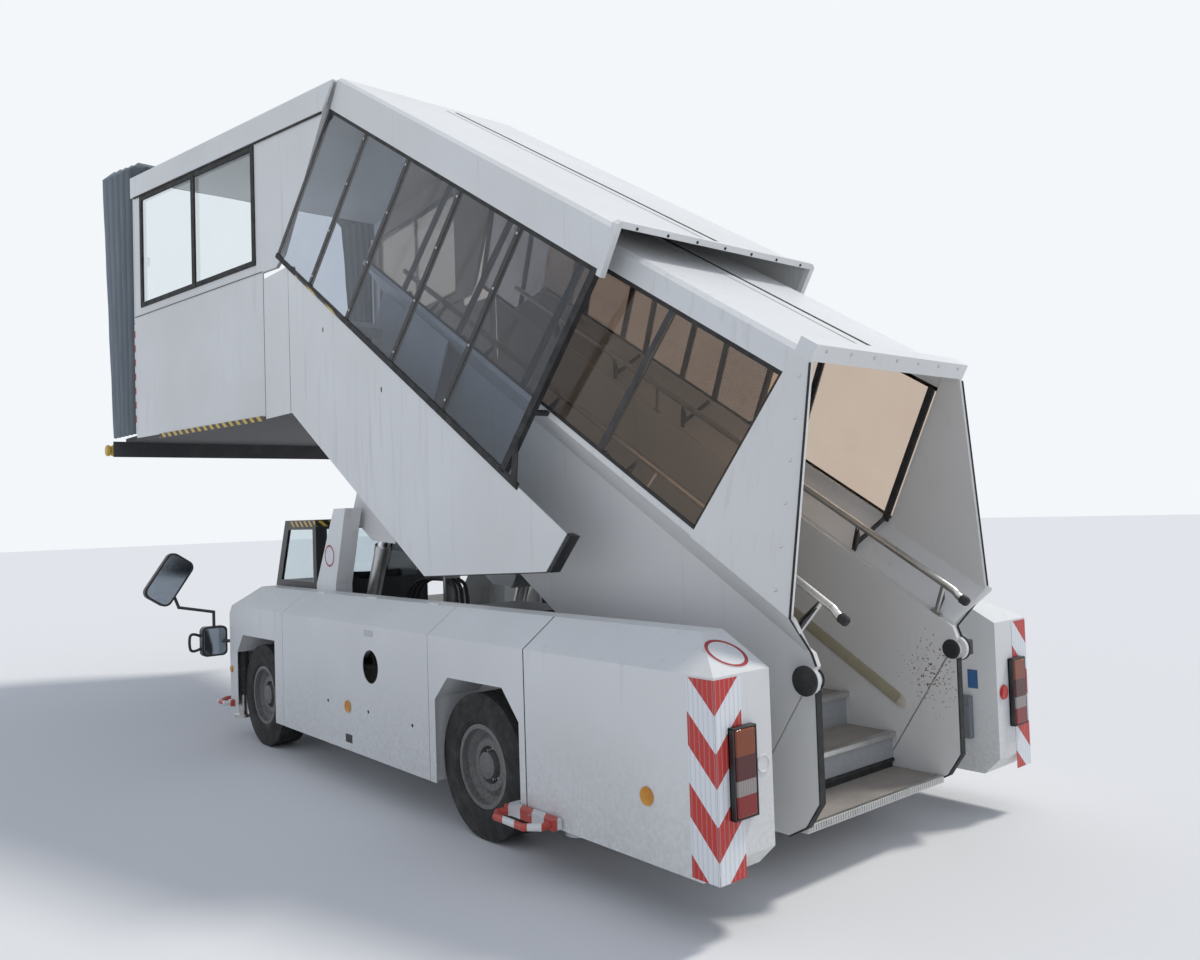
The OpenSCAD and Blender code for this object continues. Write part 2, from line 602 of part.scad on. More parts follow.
module lower_walls() place() color("white") both() {
  difference() {
    along_y(stair_in, lower_out) polygon(lower_wall_outline);
    rod_y(foot_x, foot_z, hub_r, stair_in - 5, lower_out + 5);
  }
  // Caps and pins that carry the foot
  rod_y(foot_x, foot_z, 62, lower_out, lower_out + 22);
  rod_y(foot_x, foot_z, 15, stair_in + 3, lower_out + 10);
  // Strip that leads out to the windows, with an upstand under the panes
  in_flight() along_x(600, lower_end_t) polygon([[lower_out - 12, fold_s - 4], [lower_out, fold_s - 4],
    [lower_wide, widest_s], [lower_y(widest_s + 16), widest_s + 16], [lower_out - 12, fold_s + 12]]);
  in_flight() along_x(ear_t - 30, lower_end_t) polygon([[lower_wide - 2, widest_s - 2], on_lower(widest_s),
    on_lower(widest_s + sill_up), on_lower(widest_s + sill_up) - [24, 0], [lower_wide - 28, widest_s - 20]]);
  // Ears at the rear end
  in_flight() intersection() {
    along_x(600, ear_t) polygon([on_lower(widest_s - 5), on_lower(ear_top_s), on_lower(ear_top_s) - [22, 0],
      on_lower(widest_s - 5) - [22, 0]]);
    along_y(0, 1000) polygon([[627, widest_s - 5], [ear_t, widest_s - 5], [ear_t, ear_top_s],
      [header_t, ear_top_s], [627, widest_s + 5]]);
  }
  // Pivot pins
  rod_y(pivot_x, pivot_z, pivot_r, lower_out - 5, rail_out);
  // Plates that take the lift cylinders
  along_y(lower_out - 1, lower_out + 12) polygon([[eye_x - 60, eye_z - 60], [eye_x + 60, eye_z - 60],
    [sx(3650, 300), sz(3650, 300)], [sx(4350, 300), sz(4350, 300)]]);
  along_y(lift_y + 55, lift_y + 67) polygon([[-3800, 1550], [-3470, 1530], [-3430, 1600],
    [sx(3780, 1005), sz(3780, 1005)], [sx(4380, 1005), sz(4380, 1005)], [-4010, 1960], [-4130, 1730]]);
  rod_y(eye_x, eye_z, 20, lower_out + 6, lift_y + 67);
  // Runners at the upper end
  in_flight() box(lower_end_t - 120, lower_end_t - 20, lower_out - 2, upper_wide - upper_t - seat_gap, 560, 640);
}

module lower_steps() place() color("lightgray")
  along_y(-stair_in, stair_in) polygon(sheet(concat([[nosing_x - 20, 310]],
    [for (k = [0:lower_risers]) each [[nosing_x - 20 - going * k, nosing_z - 6 + rise * k],
      [nosing_x - 20 - going * (k + 1), nosing_z - 6 + rise * k]]]), 4));
module lower_treads() place() color("rosybrown") for (k = [0:lower_risers])
  box(nosing_x - going * (k + 1) - 18 - (k == lower_risers ? 110 : 0), nosing_x - going * k,
    -stair_in, stair_in, nosing_z - 6 + rise * k, nosing_z + rise * k);

// Section of a canopy: the edge boards lean from w0 at their foot to w1
module roof_shape(w0, w1, s_low, s_top, t) polygon(concat(
  [[w0, s_low], [w1, s_top - 20], [w1 - 30, s_top], [-(w1 - 30), s_top], [-w1, s_top - 20], [-w0, s_low]],
  [[-w0 + t, s_low], [-w1 + t, s_top - 20 - t / 2], [-(w1 - 30), s_top - t], [w1 - 30, s_top - t],
    [w1 - t, s_top - 20 - t / 2], [w0 - t, s_low]]));

module lower_roof() place() color("white") in_flight() {
  along_x(ear_t, lower_end_t) roof_shape(lower_y(lower_glass_s), lower_roof_w, lower_glass_s, lower_top_s, 12);
  along_x(header_t, ear_t) polygon([on_lower(ear_top_s), [lower_roof_w - 4, lower_top_s + header_h],
    [-lower_roof_w + 4, lower_top_s + header_h], [-lower_y(ear_top_s), ear_top_s]]);
}
// A strip in a leaning wall, from a to b, set in by d from the wall's outer face
module lean(t0, t1, a, b, d, th) in_flight() along_x(t0, t1)
  polygon([[a[0] - d, a[1]], [b[0] - d, b[1]], [b[0] - d - th, b[1]], [a[0] - d - th, a[1]]]);
function lower_y(h) = lower_wide + (lower_roof_w + 20 - lower_wide) * (h - widest_s) / (lower_glass_s - widest_s);
function upper_y(h) = upper_wide + (upper_roof_w - upper_wide) * (h - sill_s) / (upper_glass_s - sill_s);
function on_lower(h) = [lower_y(h), h];
function on_upper(h) = [upper_y(h), h];

lower_post_t = [2060, 2840, 3620, 4400];
seat_gap = 0.3;
post_w = 40;
sill_up = 30;
lower_pane_t = concat([ear_t - post_w / 2], lower_post_t, [lower_end_t + post_w / 2 - 1]);
module lower_glazing() place() color("peru", 0.5) both() for (i = [0:len(lower_pane_t) - 2])
  lean(lower_pane_t[i] + post_w / 2 + seat_gap, lower_pane_t[i + 1] - post_w / 2 - seat_gap,
    on_lower(widest_s + sill_up + seat_gap), on_lower(lower_glass_s - seat_gap), 4, pane_t);
module lower_posts() place() color("black") both() for (t = lower_post_t)
  lean(t - post_w / 2, t + post_w / 2, on_lower(widest_s + sill_up + seat_gap),
    on_lower(lower_glass_s - seat_gap), 2, 22);
module lower_handrails() place() color("gray") both() in_flight() {
  rod_x(500, 1080, 19, 640, lower_end_t - 60);
  for (t = [700, 1900, 3100, 4300]) {
    bar([t, 500, 1080], [t, 570, 905], 10);
    box(t - 30, t + 30, 562, 583, fold_s + seat_gap, fold_s + 20);
  }
}

// Upper flight
upper_skirt = [[tip_t, sill_s], [ft(-1420, 1405), fs(-1420, 1405)], [ft(-2670, 1345), fs(-2670, 1345)],
  [ft(-4660, 2550), upper_s0], [ft(-4660, 3700), sill_s]];
upper_post_t = [3300, 4030, 4770, 5470];

module upper_walls() place() color("white") both() in_flight() {
  along_y(upper_wide - upper_t, upper_wide) polygon(upper_skirt);
  box(upper_end_t, ft(-4660, 3700), upper_wide - 36, upper_wide, sill_s - 8, sill_s);
}
module upper_steps() place() color("lightgray") {
  x0 = -2300;
  z0 = (upper_nose_s - x0 * sin(slope)) / cos(slope);
  along_y(-upper_stringer_y + 10, upper_stringer_y - 10) polygon(sheet(concat([[x0 - 20, z0 - 120]],
    [for (k = [0:6]) each [[x0 - 20 - going * k, z0 + rise * k], [x0 - 20 - going * (k + 1), z0 + rise * k]]]), 5));
  both() {
    in_flight() difference() {
      union() {
        along_y(upper_stringer_y - 10, upper_stringer_y) polygon([[2620, -40], [2700, -30], [5060, -30],
          [5130, -60], [5130, -180], [5060, -225], [2800, -225], [2620, -120]]);
      }
      rod_y(ft(hinge_x, hinge_z), fs(hinge_x, hinge_z), 20 + run_gap, 500, 650);
    }
    in_flight() box(4600, 4940, upper_stringer_y - 1, upper_wide - upper_t, -235, -60);
  }
}
module upper_roof() place() color("white") in_flight() {
  intersection() {
    along_x(upper_end_t - 1, 6250) roof_shape(upper_roof_w, upper_roof_w, upper_glass_s, upper_top_s, 12);
    along_y(-1000, 1000) polygon([[upper_end_t - 30, 1800], [ft(-4255, 4845), 1800], [ft(-4255, 4845), fs(-4255, 4845)],
      [ft(-4110, 5030), fs(-4110, 5030)], [ft(-4100, 5060), 2300], [upper_end_t - 30, 2300]]);
  }
  // Raised frame across the lower end
  along_x(upper_end_t - 40, upper_end_t) roof_shape(upper_roof_w + 8, upper_roof_w + 6, upper_glass_s - 30, upper_top_s + 30, 34);
}
upper_pane_t = concat([upper_end_t + 8], upper_post_t, [glass_end_t - post_w / 2]);
upper_low = sill_s + seat_gap;
module upper_glazing() place() color("steelblue", 0.5) both() for (i = [0:len(upper_pane_t) - 2])
  lean(upper_pane_t[i] + post_w / 2 + seat_gap, upper_pane_t[i + 1] - post_w / 2 - seat_gap,
    on_upper(upper_low), on_upper(upper_glass_s - seat_gap), 4, pane_t);
module upper_posts() place() color("black") both() {
  for (i = [0:len(upper_pane_t) - 1]) let (t = upper_pane_t[i])
    lean(i == 0 ? upper_end_t : t - post_w / 2, t + post_w / 2, on_upper(upper_low), on_upper(upper_glass_s - seat_gap), 2, 26);
  // Runner pads at the lower end
  in_flight() along_x(upper_end_t, upper_end_t + 28) polygon([on_lower(widest_s + 4) + [0.5, 0],
    on_upper(widest_s + 4) - [12, 0], on_upper(widest_s + 28) - [12, 0], on_lower(widest_s + 28) + [0.5, 0]]);
}

// Platform
function wall_u(x) = (flare_x - x) / cos(flare);
module on_wall(y0, t) translate([flare_x, -y0, 0]) rotate([0, 0, 180 + flare])
  rotate([90, 0, 0]) linear_extrude(t) children();
module through_wall(y0) translate([flare_x, -y0, 0]) rotate([0, 0, 180 + flare])
  rotate([90, 0, 0]) linear_extrude(200, center = true) children();
roof_drop = (roof_front_z - roof_apex_z) / (-4110 - plat_x0);
function roof_z(x) = roof_apex_z + (-4110 - x) * roof_drop;
plat_y = 970;
front_y = plat_y + wall_u(plat_x0) * sin(flare);

module platform_floor() place() color("gray") {
  difference() {
    translate([0, 0, floor_z - 40]) linear_extrude(40) polygon([[-4318, -540], [-4318, 540], [-4668, 560], [-4668, 955],
      [flare_x, plat_y - 10], [plat_x0, front_y - 10], [plat_x0, -front_y + 10], [flare_x, -plat_y + 10],
      [-4668, -955], [-4668, -560]]);
  }
  // Floor under the shroud and the plate behind the bumper
  box(shroud_x0, plat_x0 + 1, -front_y + 60, front_y - 60, floor_z - 40, floor_z);
  box(shroud_x0 - 12, shroud_x0, -front_y - 60, front_y + 60, floor_z - 190, floor_z - 30);
  // Lugs and pins on the upper flight
  both() {
    difference() {
      along_y(upper_stringer_y + 8, upper_stringer_y + 28) union() {
        translate([hinge_x, hinge_z]) circle(r = 60);
        polygon([[hinge_x - 60, hinge_z], [hinge_x - 300, floor_z - 40], [hinge_x - 300, floor_z - 110],
          [hinge_x, hinge_z - 60]]);
      }
    }
    rod_y(hinge_x, hinge_z, 20, upper_stringer_y - 20, upper_stringer_y + 28);
    along_y(upper_stringer_y + 8, upper_stringer_y + 28)
      polygon([[-4668, floor_z - 60], [-4750, floor_z - 60], [-4750, floor_z - 38], [-4668, floor_z - 38]]);
  }
}
module platform_walls() place() color("white") both() {
  // Lower panel and corner post
  difference() {
    on_wall(plat_y, 6) polygon([[0, floor_z - 44], [wall_u(plat_x0), floor_z - 44],
      [wall_u(plat_x0), panel_top], [0, panel_top]]);
  }
  translate([0, -plat_y, 0]) box(flare_x - 2, -4672, 0, 6, floor_z - 66, 3708);
  box(-4678, -4672, -plat_y, -plat_y + 60, floor_z, 3708);
  // Portal that carries the shroud
  box(plat_x0 - 40, plat_x0 - 1, -front_y + 2, -front_y + 62, floor_z, roof_front_z - fascia_h - 8);
  // Wall above, cut for the window
  difference() {
    on_wall(plat_y - 4, 30) polygon([[0, panel_top], [wall_u(plat_x0), panel_top],
      [wall_u(plat_x0), roof_z(plat_x0) - 20], [wall_u(-4270), roof_z(-4270) - 30],
      [wall_u(sx(glass_end_t + 12, upper_glass_s)), sz(glass_end_t + 12, upper_glass_s)],
      [wall_u(sx(glass_end_t + 12, sill_s + 20)), sz(glass_end_t + 12, sill_s + 20)], [wall_u(-5000), panel_top]]);
    through_wall(plat_y - 16) polygon([[wall_u(-5310), 3850], [wall_u(-7460), 3850],
      [wall_u(-7460), roof_z(-7460) - fascia_h - 20], [wall_u(-5310), roof_z(-5310) - fascia_h - 20]]);
  }
}
module platform_roof() place() color("white") {
  // Sheet
  difference() {
    translate([0, 0, roof_apex_z]) rotate([0, atan(roof_drop), 0]) translate([0, 0, -12 - 4110 * sin(atan(roof_drop))])
      linear_extrude(12) polygon([[-4122, -812], [-4122, 812],
        [plat_x0 - 38, front_y + 12], [plat_x0 - 38, -front_y - 12]]);
  }
  both() on_wall(plat_y + 14, 17.6) polygon([[wall_u(-4122), roof_z(-4122)], [wall_u(plat_x0) + 40, roof_z(plat_x0)],
    [wall_u(plat_x0) + 40, roof_z(plat_x0) - fascia_h], [wall_u(-4270), roof_z(-4270) - fascia_h]]);
  // Apron under the flight's roof
  along_y(-upper_roof_w + 40, upper_roof_w - 40) polygon(sheet([[sx(5650, apron_s), sz(5650, apron_s)],
    [sx(6030, apron_s), sz(6030, apron_s)], [-4150, roof_z(-4150) - 16], [-4150, roof_z(-4150) - 8]], 6));
}
module platform_glazing() place() color("lightblue", 0.4) both()
  on_wall(plat_y - 16, pane_t) polygon([[wall_u(-5310.3), 3850.3], [wall_u(-7459.7), 3850.3],
    [wall_u(-7459.7), roof_z(-7459.7) - fascia_h - 20.3], [wall_u(-5310.3), roof_z(-5310.3) - fascia_h - 20.3]]);

// Folded shroud at the front
apron_s = upper_top_s - 62;
shroud_x0 = plat_x0 - 650;
fold_n = 5;
shroud_z0 = 2620;
shroud_top = 5480;
function shroud_section(i) = let (
    out = i % 2 == 0 ? 0 : 45,
    w = front_y - 10 + 20 * i / fold_n + out,
    top = shroud_top - 160 + 160 * i / (2 * fold_n) + out,
    x0 = plat_x0 - 40.3 - i * 62,
    lean = 0.012 * i,
    p = [[-w, shroud_z0], [-w, top - 120], [-w + 120, top], [w - 120, top], [w, top - 120], [w, shroud_z0],
      [w - 14, shroud_z0], [w - 14, top - 126], [w - 126, top - 14], [-w + 126, top - 14],
      [-w + 14, top - 126], [-w + 14, shroud_z0]]
  ) [for (q = p) [x0 - lean * (q[1] - shroud_z0), q[0], q[1]]];

// The model's origin is under the middle of its length
front_end = min([for (i = [0:2 * fold_n]) for (p = shroud_section(i)) p[0]]);
rear_end = sx(header_t, lower_top_s + header_h);
mid_x = -(front_end + rear_end) / 2;

// Joins sections of a bent strip: the first half of the points is its outer side
module loft(sections) {
  n = len(sections[0]);
  m = len(sections);
  polyhedron(
    points = [for (s = sections) each s],
    faces = concat(
      [for (k = [0:n / 2 - 2]) [k, k + 1, n - 2 - k, n - 1 - k]],
      [for (i = [0:m - 2]) for (j = [0:n - 1]) each [
        [i * n + j, (i + 1) * n + j, i * n + (j + 1) % n],
        [i * n + (j + 1) % n, (i + 1) * n + j, (i + 1) * n + (j + 1) % n]]],
      [for (k = [0:n / 2 - 2]) [for (q = [n - 1 - k, n - 2 - k, k + 1, k]) (m - 1) * n + q]]),
    convexity = 8);
}
module platform_bellows() place() color("slategray") loft([for (i = [0:2 * fold_n]) shroud_section(i)]);
module platform_bumper() place() color("black")
  rod_y(shroud_x0 - 12 - 60 - seat_gap, floor_z - 120, 60, -front_y - 120, front_y + 120);

// Levelling foot of the stair, hung on the lower flight's caps
foot_gap = 6;
seam_dir = unit(seam_low - seam_top);
seam_off = [-seam_dir[1], seam_dir[0]] * foot_gap;
foot_z0 = 250;
foot_back = -466;
module foot_unit() place() color("white") {
  both() difference() {
    along_y(stair_in + 0.5, lower_out - 0.5) {
      polygon([[-20, foot_z], [-20, 420], [-95, 305], [-190, foot_z0], [foot_back, foot_z0], [foot_back, 286],
        [foot_x, foot_z] + seam_off]);
      translate([foot_x, foot_z]) circle(r = hub_r - 0.5);
    }
    rod_y(foot_x, foot_z, 15 + run_gap, stair_in - 5, lower_out + 5);
  }
  box(-460, -118, -stair_in - 1, stair_in + 1, 261, 291);
}

chassis_frame();
front_axle();
rear_axle();
engine_block();
hydraulic_tank();
fairing_left();
fairing_right();
door_left();
door_right();
front_panel();
front_deck();
cab_shell();
cab_glass();
cab_door();
cab_seat();
cab_controls();
pillars();
mirror_left();
mirror_right();
lamps();
guard_bows();
jack_leg_fl();
jack_leg_fr();
jack_leg_rl();
jack_leg_rr();
knuckle_left();
knuckle_right();
tyre_fl();
tyre_fr();
tyre_rl();
tyre_rr();
rim_fl();
rim_fr();
rim_rl();
rim_rr();
lift_barrel_left();
lift_barrel_right();
lift_rod_left();
lift_rod_right();
lower_walls();
lower_steps();
lower_treads();
lower_roof();
lower_glazing();
lower_posts();
lower_handrails();
upper_walls();
upper_steps();
upper_roof();
upper_glazing();
upper_posts();
platform_floor();
platform_walls();
platform_roof();
platform_glazing();
platform_bellows();
platform_bumper();
foot_unit();
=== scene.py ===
# %% [markdown]
# # Covered passenger stairs
# A low vehicle carries a covered stair in two flights that slide on each other. The frame comes
# packed from the CAD, and this script dresses it: paint, rubber, glass, lamps, tape and small parts.

# %% Load the frame
import json
import math
import random

import bpy
from mathutils import Matrix, Vector


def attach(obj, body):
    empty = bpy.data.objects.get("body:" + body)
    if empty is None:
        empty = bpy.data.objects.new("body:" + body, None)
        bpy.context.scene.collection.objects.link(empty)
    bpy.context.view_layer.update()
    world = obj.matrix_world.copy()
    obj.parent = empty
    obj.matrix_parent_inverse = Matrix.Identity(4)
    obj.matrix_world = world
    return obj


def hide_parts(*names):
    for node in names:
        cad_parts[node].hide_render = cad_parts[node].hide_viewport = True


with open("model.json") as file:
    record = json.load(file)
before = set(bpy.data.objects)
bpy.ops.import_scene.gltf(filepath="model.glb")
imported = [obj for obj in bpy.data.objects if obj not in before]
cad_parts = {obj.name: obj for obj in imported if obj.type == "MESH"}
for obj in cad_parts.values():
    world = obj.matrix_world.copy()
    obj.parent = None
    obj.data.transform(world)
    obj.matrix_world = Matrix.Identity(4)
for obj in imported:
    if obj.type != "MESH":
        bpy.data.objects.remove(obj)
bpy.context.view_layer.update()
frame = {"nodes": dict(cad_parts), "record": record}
nodes = frame["nodes"]
FOOT_X = 4.260625  # the stair's foot, from the middle of the row frame
SLOPE = math.radians(31.5)  # of both flights
FLOOR_Z = 2.62  # top of the landing's floor
SIDES = ((-1, "left"), (1, "right"))
LOWER, UPPER, LANDING = "lower_flight", "upper_flight", "platform"  # bodies
random.seed(7)


def at(x, y, z):
    """A point measured from the stair's foot, in the row frame."""
    return Vector((x + FOOT_X, y, z))


def on_flight(t, y, s):
    """A point at t up the slope and s square to it."""
    return at(-t * math.cos(SLOPE) + s * math.sin(SLOPE), y, t * math.sin(SLOPE) + s * math.cos(SLOPE))


# %% [markdown]
# ## Camera
# The camera stands to the left of the stair's foot, at eye height, turned a little on its axis.

# %% Camera
CAMERA_AT = at(2.6143, -3.9978, 1.7101)
YAW, PITCH, ROLL = 40.172, 1.85, 1.817
FOCAL = 29.03


def camera_axes(yaw, pitch, roll):
    """Right, up and backward directions for three angles in degrees."""
    yaw, pitch, roll = (math.radians(a) for a in (yaw, pitch, roll))
    ahead = Vector((-math.cos(yaw) * math.cos(pitch), math.sin(yaw) * math.cos(pitch), math.sin(pitch)))
    right = ahead.cross(Vector((0, 0, 1))).normalized()
    up = right.cross(ahead)
    return right * math.cos(roll) - up * math.sin(roll), right * math.sin(roll) + up * math.cos(roll), -ahead


bpy.ops.object.camera_add()
camera = bpy.context.object
right, up, back = camera_axes(YAW, PITCH, ROLL)
camera.matrix_world = Matrix.Translation(CAMERA_AT) @ Matrix((right, up, back)).transposed().to_4x4()
camera.data.lens = FOCAL
camera.data.sensor_width = 36
camera.data.clip_end = 200
bpy.context.scene.camera = camera
print("camera at", [round(v, 3) for v in CAMERA_AT])

# %% [markdown]
# ## Floor and light
# A pale floor keeps the shadow. One large soft lamp stands for the sun behind the stair, and the
# world fills the shaded side, so that a colour renders about as it is written.

# %% Floor and light
bpy.context.scene.view_settings.view_transform = "Standard"
bpy.ops.mesh.primitive_plane_add(size=160, location=(0, 0, 0))
floor = bpy.context.object
floor.name = "floor"


def light_paths(tree):
    """Adds up the rays that should see the plain background: camera, glossy and transmission."""
    path = tree.nodes.new("ShaderNodeLightPath")
    total = path.outputs["Is Camera Ray"]
    for ray in ("Is Glossy Ray", "Is Transmission Ray"):
        add = tree.nodes.new("ShaderNodeMath")
        add.operation = "MAXIMUM"
        tree.links.new(total, add.inputs[0])
        tree.links.new(path.outputs[ray], add.inputs[1])
        total = add.outputs[0]
    return total


world = bpy.data.worlds.new("studio")
bpy.context.scene.world = world
world.use_nodes = True
tree = world.node_tree
tree.nodes.clear()
fill = tree.nodes.new("ShaderNodeBackground")
fill.inputs["Color"].default_value = (0.8, 0.87, 1.0, 1)
fill.inputs["Strength"].default_value = 0.62
seen = tree.nodes.new("ShaderNodeBackground")
seen.inputs["Color"].default_value = (0.9, 0.93, 0.96, 1)
mix = tree.nodes.new("ShaderNodeMixShader")
out = tree.nodes.new("ShaderNodeOutputWorld")
tree.links.new(light_paths(tree), mix.inputs[0])
tree.links.new(fill.outputs[0], mix.inputs[1])
tree.links.new(seen.outputs[0], mix.inputs[2])
tree.links.new(mix.outputs[0], out.inputs[0])

bpy.ops.object.light_add(type="SUN", location=(6, 8, 12))
sun = bpy.context.object
sun.data.energy = 1.7
sun.data.angle = math.radians(9)
sun.data.color = (1.0, 0.97, 0.92)
sun.rotation_euler = Vector((0.35, 0.85, 1.35)).to_track_quat("Z", "Y").to_euler()
print("floor and lights set")

# %% [markdown]
# ## Finishes
# Each finish is one material made of nodes. Paint is never one flat colour: it has a slow change
# of tone, streaks that rain leaves down a panel, and dust that thickens near the ground.

# %% Material helpers


class Finish:
    """A new material with short ways to add and join nodes."""

    def __init__(self, name, roughness=0.5, metallic=0.0):
        self.material = bpy.data.materials.new(name)
        self.material.use_nodes = True
        self.tree = self.material.node_tree
        self.shader = self.tree.nodes["Principled BSDF"]
        self.shader.inputs["Roughness"].default_value = roughness
        self.shader.inputs["Metallic"].default_value = metallic
        self.place = self.tree.nodes.new("ShaderNodeTexCoord").outputs["Object"]

    def add(self, kind, **values):
        made = self.tree.nodes.new("ShaderNode" + kind)
        for key, value in values.items():
            if hasattr(made, key):
                setattr(made, key, value)
            else:
                self.put(made.inputs[key.replace("_", " ")], value)
        return made

    def put(self, socket, value):
        if isinstance(value, bpy.types.NodeSocket):
            self.tree.links.new(value, socket)
        elif isinstance(value, (tuple, list)) and len(value) == 3 and socket.type == "RGBA":
            socket.default_value = (*value, 1)
        else:
            socket.default_value = value

    def stretched(self, scale, turn=(0, 0, 0)):
        return self.add("Mapping", Vector=self.place, Scale=scale, Rotation=turn).outputs[0]

    def noise(self, size, detail=4.0, stretch=(1, 1, 1), rough=0.55):
        """Smooth noise whose patches are about size metres across."""
        where = self.stretched(stretch) if stretch != (1, 1, 1) else self.place
        made = self.add("TexNoise", Vector=where, Scale=1 / size, Detail=detail, Roughness=rough)
        return made.outputs["Fac"]

    def band(self, value, low, high, to_low=0.0, to_high=1.0):
        made = self.add("MapRange", clamp=True)
        self.put(made.inputs["Value"], value)
        for key, number in (("From Min", low), ("From Max", high), ("To Min", to_low), ("To Max", to_high)):
            made.inputs[key].default_value = number
        return made.outputs["Result"]

    def math(self, operation, a, b=0.5):
        made = self.add("Math", operation=operation)
        self.put(made.inputs[0], a)
        self.put(made.inputs[1], b)
        return made.outputs[0]

    def blend(self, amount, a, b):
        made = self.add("Mix", data_type="RGBA")
        self.put(made.inputs[0], amount)
        self.put(made.inputs[6], a)
        self.put(made.inputs[7], b)
        return made.outputs[2]

    def axis(self, name):
        return self.add("SeparateXYZ", Vector=self.place).outputs[name]

    def distance(self, centre):
        made = self.add("VectorMath", operation="DISTANCE")
        self.put(made.inputs[0], self.place)
        made.inputs[1].default_value = centre
        return made.outputs["Value"]

    def bump(self, height, depth, strength=1.0):
        """Raises the surface by the height pattern, which is depth metres deep."""
        made = self.add("Bump", Height=height, Distance=depth, Strength=strength)
        self.tree.links.new(made.outputs[0], self.shader.inputs["Normal"])

    def colour(self, value):
        self.put(self.shader.inputs["Base Color"], value)

    def rough(self, value):
        self.put(self.shader.inputs["Roughness"], value)


def painted(name, clean, dirty, roughness=0.38, dust_top=0.8, dust=0.55, streak=0.35, peel=0.0004):
    """Sprayed paint with slow tone change, rain streaks, and road dust below dust_top."""
    f = Finish(name)
    tone = f.band(f.noise(1.4, 3), 0.35, 0.7, 0.0, 0.25)
    runs = f.band(f.noise(0.05, 5, (1, 1, 0.06)), 0.52, 0.75, 0.0, streak)
    low = f.band(f.axis("Z"), 0.12, dust_top, dust, 0.0)
    grit = f.band(f.noise(0.02, 6), 0.35, 0.75)
    dirt = f.math("ADD", f.math("MAXIMUM", tone, runs), f.math("MULTIPLY", low, grit))
    f.colour(f.blend(dirt, clean, dirty))
    f.rough(f.band(dirt, 0.0, 0.8, roughness, min(0.9, roughness + 0.35)))
    f.bump(f.noise(0.004, 2), peel, 0.25)
    return f.material


# %% Paints
white_paint = painted("white_paint", (0.79, 0.8, 0.8), (0.47, 0.46, 0.43))
frame_paint = painted("chassis_black", (0.035, 0.036, 0.04), (0.2, 0.18, 0.16), 0.55, 1.1, 0.8, 0.25)
engine_paint = painted("engine_grey", (0.16, 0.17, 0.18), (0.07, 0.06, 0.05), 0.6, 1.0, 0.7)
grey_paint = painted("step_grey", (0.4, 0.42, 0.43), (0.22, 0.21, 0.19), 0.5, 1.0, 0.5)
rim_paint = painted("rim_grey", (0.2, 0.2, 0.195), (0.09, 0.08, 0.07), 0.5, 0.9, 0.8, 0.3)
print("paints: 5")

# %% Metals


def metal(name, colour, roughness, brush=(1, 1, 1), tarnish=(0.25, 0.22, 0.19)):
    """Bare metal with a fine grain and dull patches."""
    f = Finish(name, roughness, 1.0)
    grain = f.noise(0.002, 2, brush)
    f.colour(f.blend(f.band(f.noise(0.12, 6), 0.5, 0.8, 0.0, 0.5), colour, tarnish))
    f.rough(f.band(grain, 0.3, 0.7, roughness * 0.75, roughness * 1.35))
    f.bump(grain, 0.0002, 0.3)
    return f.material


steel = metal("bright_steel", (0.58, 0.58, 0.57), 0.32)
rod_chrome = metal("rod_chrome", (0.78, 0.79, 0.8), 0.08, tarnish=(0.5, 0.5, 0.5))
rail_aluminium = metal("rail_aluminium", (0.6, 0.6, 0.59), 0.3, (1, 1, 0.1))
print("metals: 3")

# %% Glass


def glass(name, tint, film=0.12):
    """A tinted pane with a thin film of dust in slow patches."""
    f = Finish(name, 0.0)
    f.shader.inputs["Transmission Weight"].default_value = 1.0
    f.shader.inputs["IOR"].default_value = 1.2
    f.shader.inputs["Coat Weight"].default_value = 0.4
    f.shader.inputs["Coat Roughness"].default_value = 0.0
    f.colour(f.blend(f.band(f.noise(0.35, 4), 0.4, 0.8, 0.0, film), tint, (0.75, 0.74, 0.7)))
    return f.material


clear_glass = glass("clear_glass", (0.8, 0.86, 0.88))
bronze_glass = glass("bronze_glass", (0.62, 0.49, 0.39))
blue_glass = glass("blue_glass", (0.42, 0.47, 0.55))
print("glass: 3")

# %% Plastics and rubbers


def plastic(name, colour, roughness=0.5, grain=0.0015, faded=None):
    f = Finish(name, roughness)
    pale = faded or tuple(min(1, c * 1.8 + 0.03) for c in colour)
    f.colour(f.blend(f.band(f.noise(0.09, 6), 0.45, 0.8, 0.0, 0.6), colour, pale))
    f.rough(f.band(f.noise(0.05, 4), 0.3, 0.7, roughness * 0.85, min(1, roughness * 1.2)))
    f.bump(f.noise(grain, 2), 0.0003, 0.3)
    return f.material


black_plastic = plastic("black_plastic", (0.022, 0.022, 0.024), 0.45)
black_rubber = plastic("black_rubber", (0.02, 0.02, 0.021), 0.75, 0.003)
tyre_rubber = plastic("tyre_rubber", (0.022, 0.022, 0.022), 0.85, 0.004, (0.09, 0.085, 0.08))
bumper_rubber = plastic("bumper_rubber", (0.03, 0.03, 0.03), 0.8, 0.004)
seat_fabric = plastic("seat_fabric", (0.03, 0.03, 0.035), 0.95, 0.0012)
tread_mat = plastic("tread_mat", (0.33, 0.3, 0.27), 0.8, 0.002, (0.42, 0.39, 0.36))
lamp_plastic = plastic("lamp_red", (0.45, 0.02, 0.015), 0.2, 0.01)
bow_paint = plastic("bow_red", (0.6, 0.06, 0.05), 0.4, 0.004, (0.65, 0.3, 0.25))
print("plastics and rubbers: 8")

# %% Cloth, and finishes on the nodes


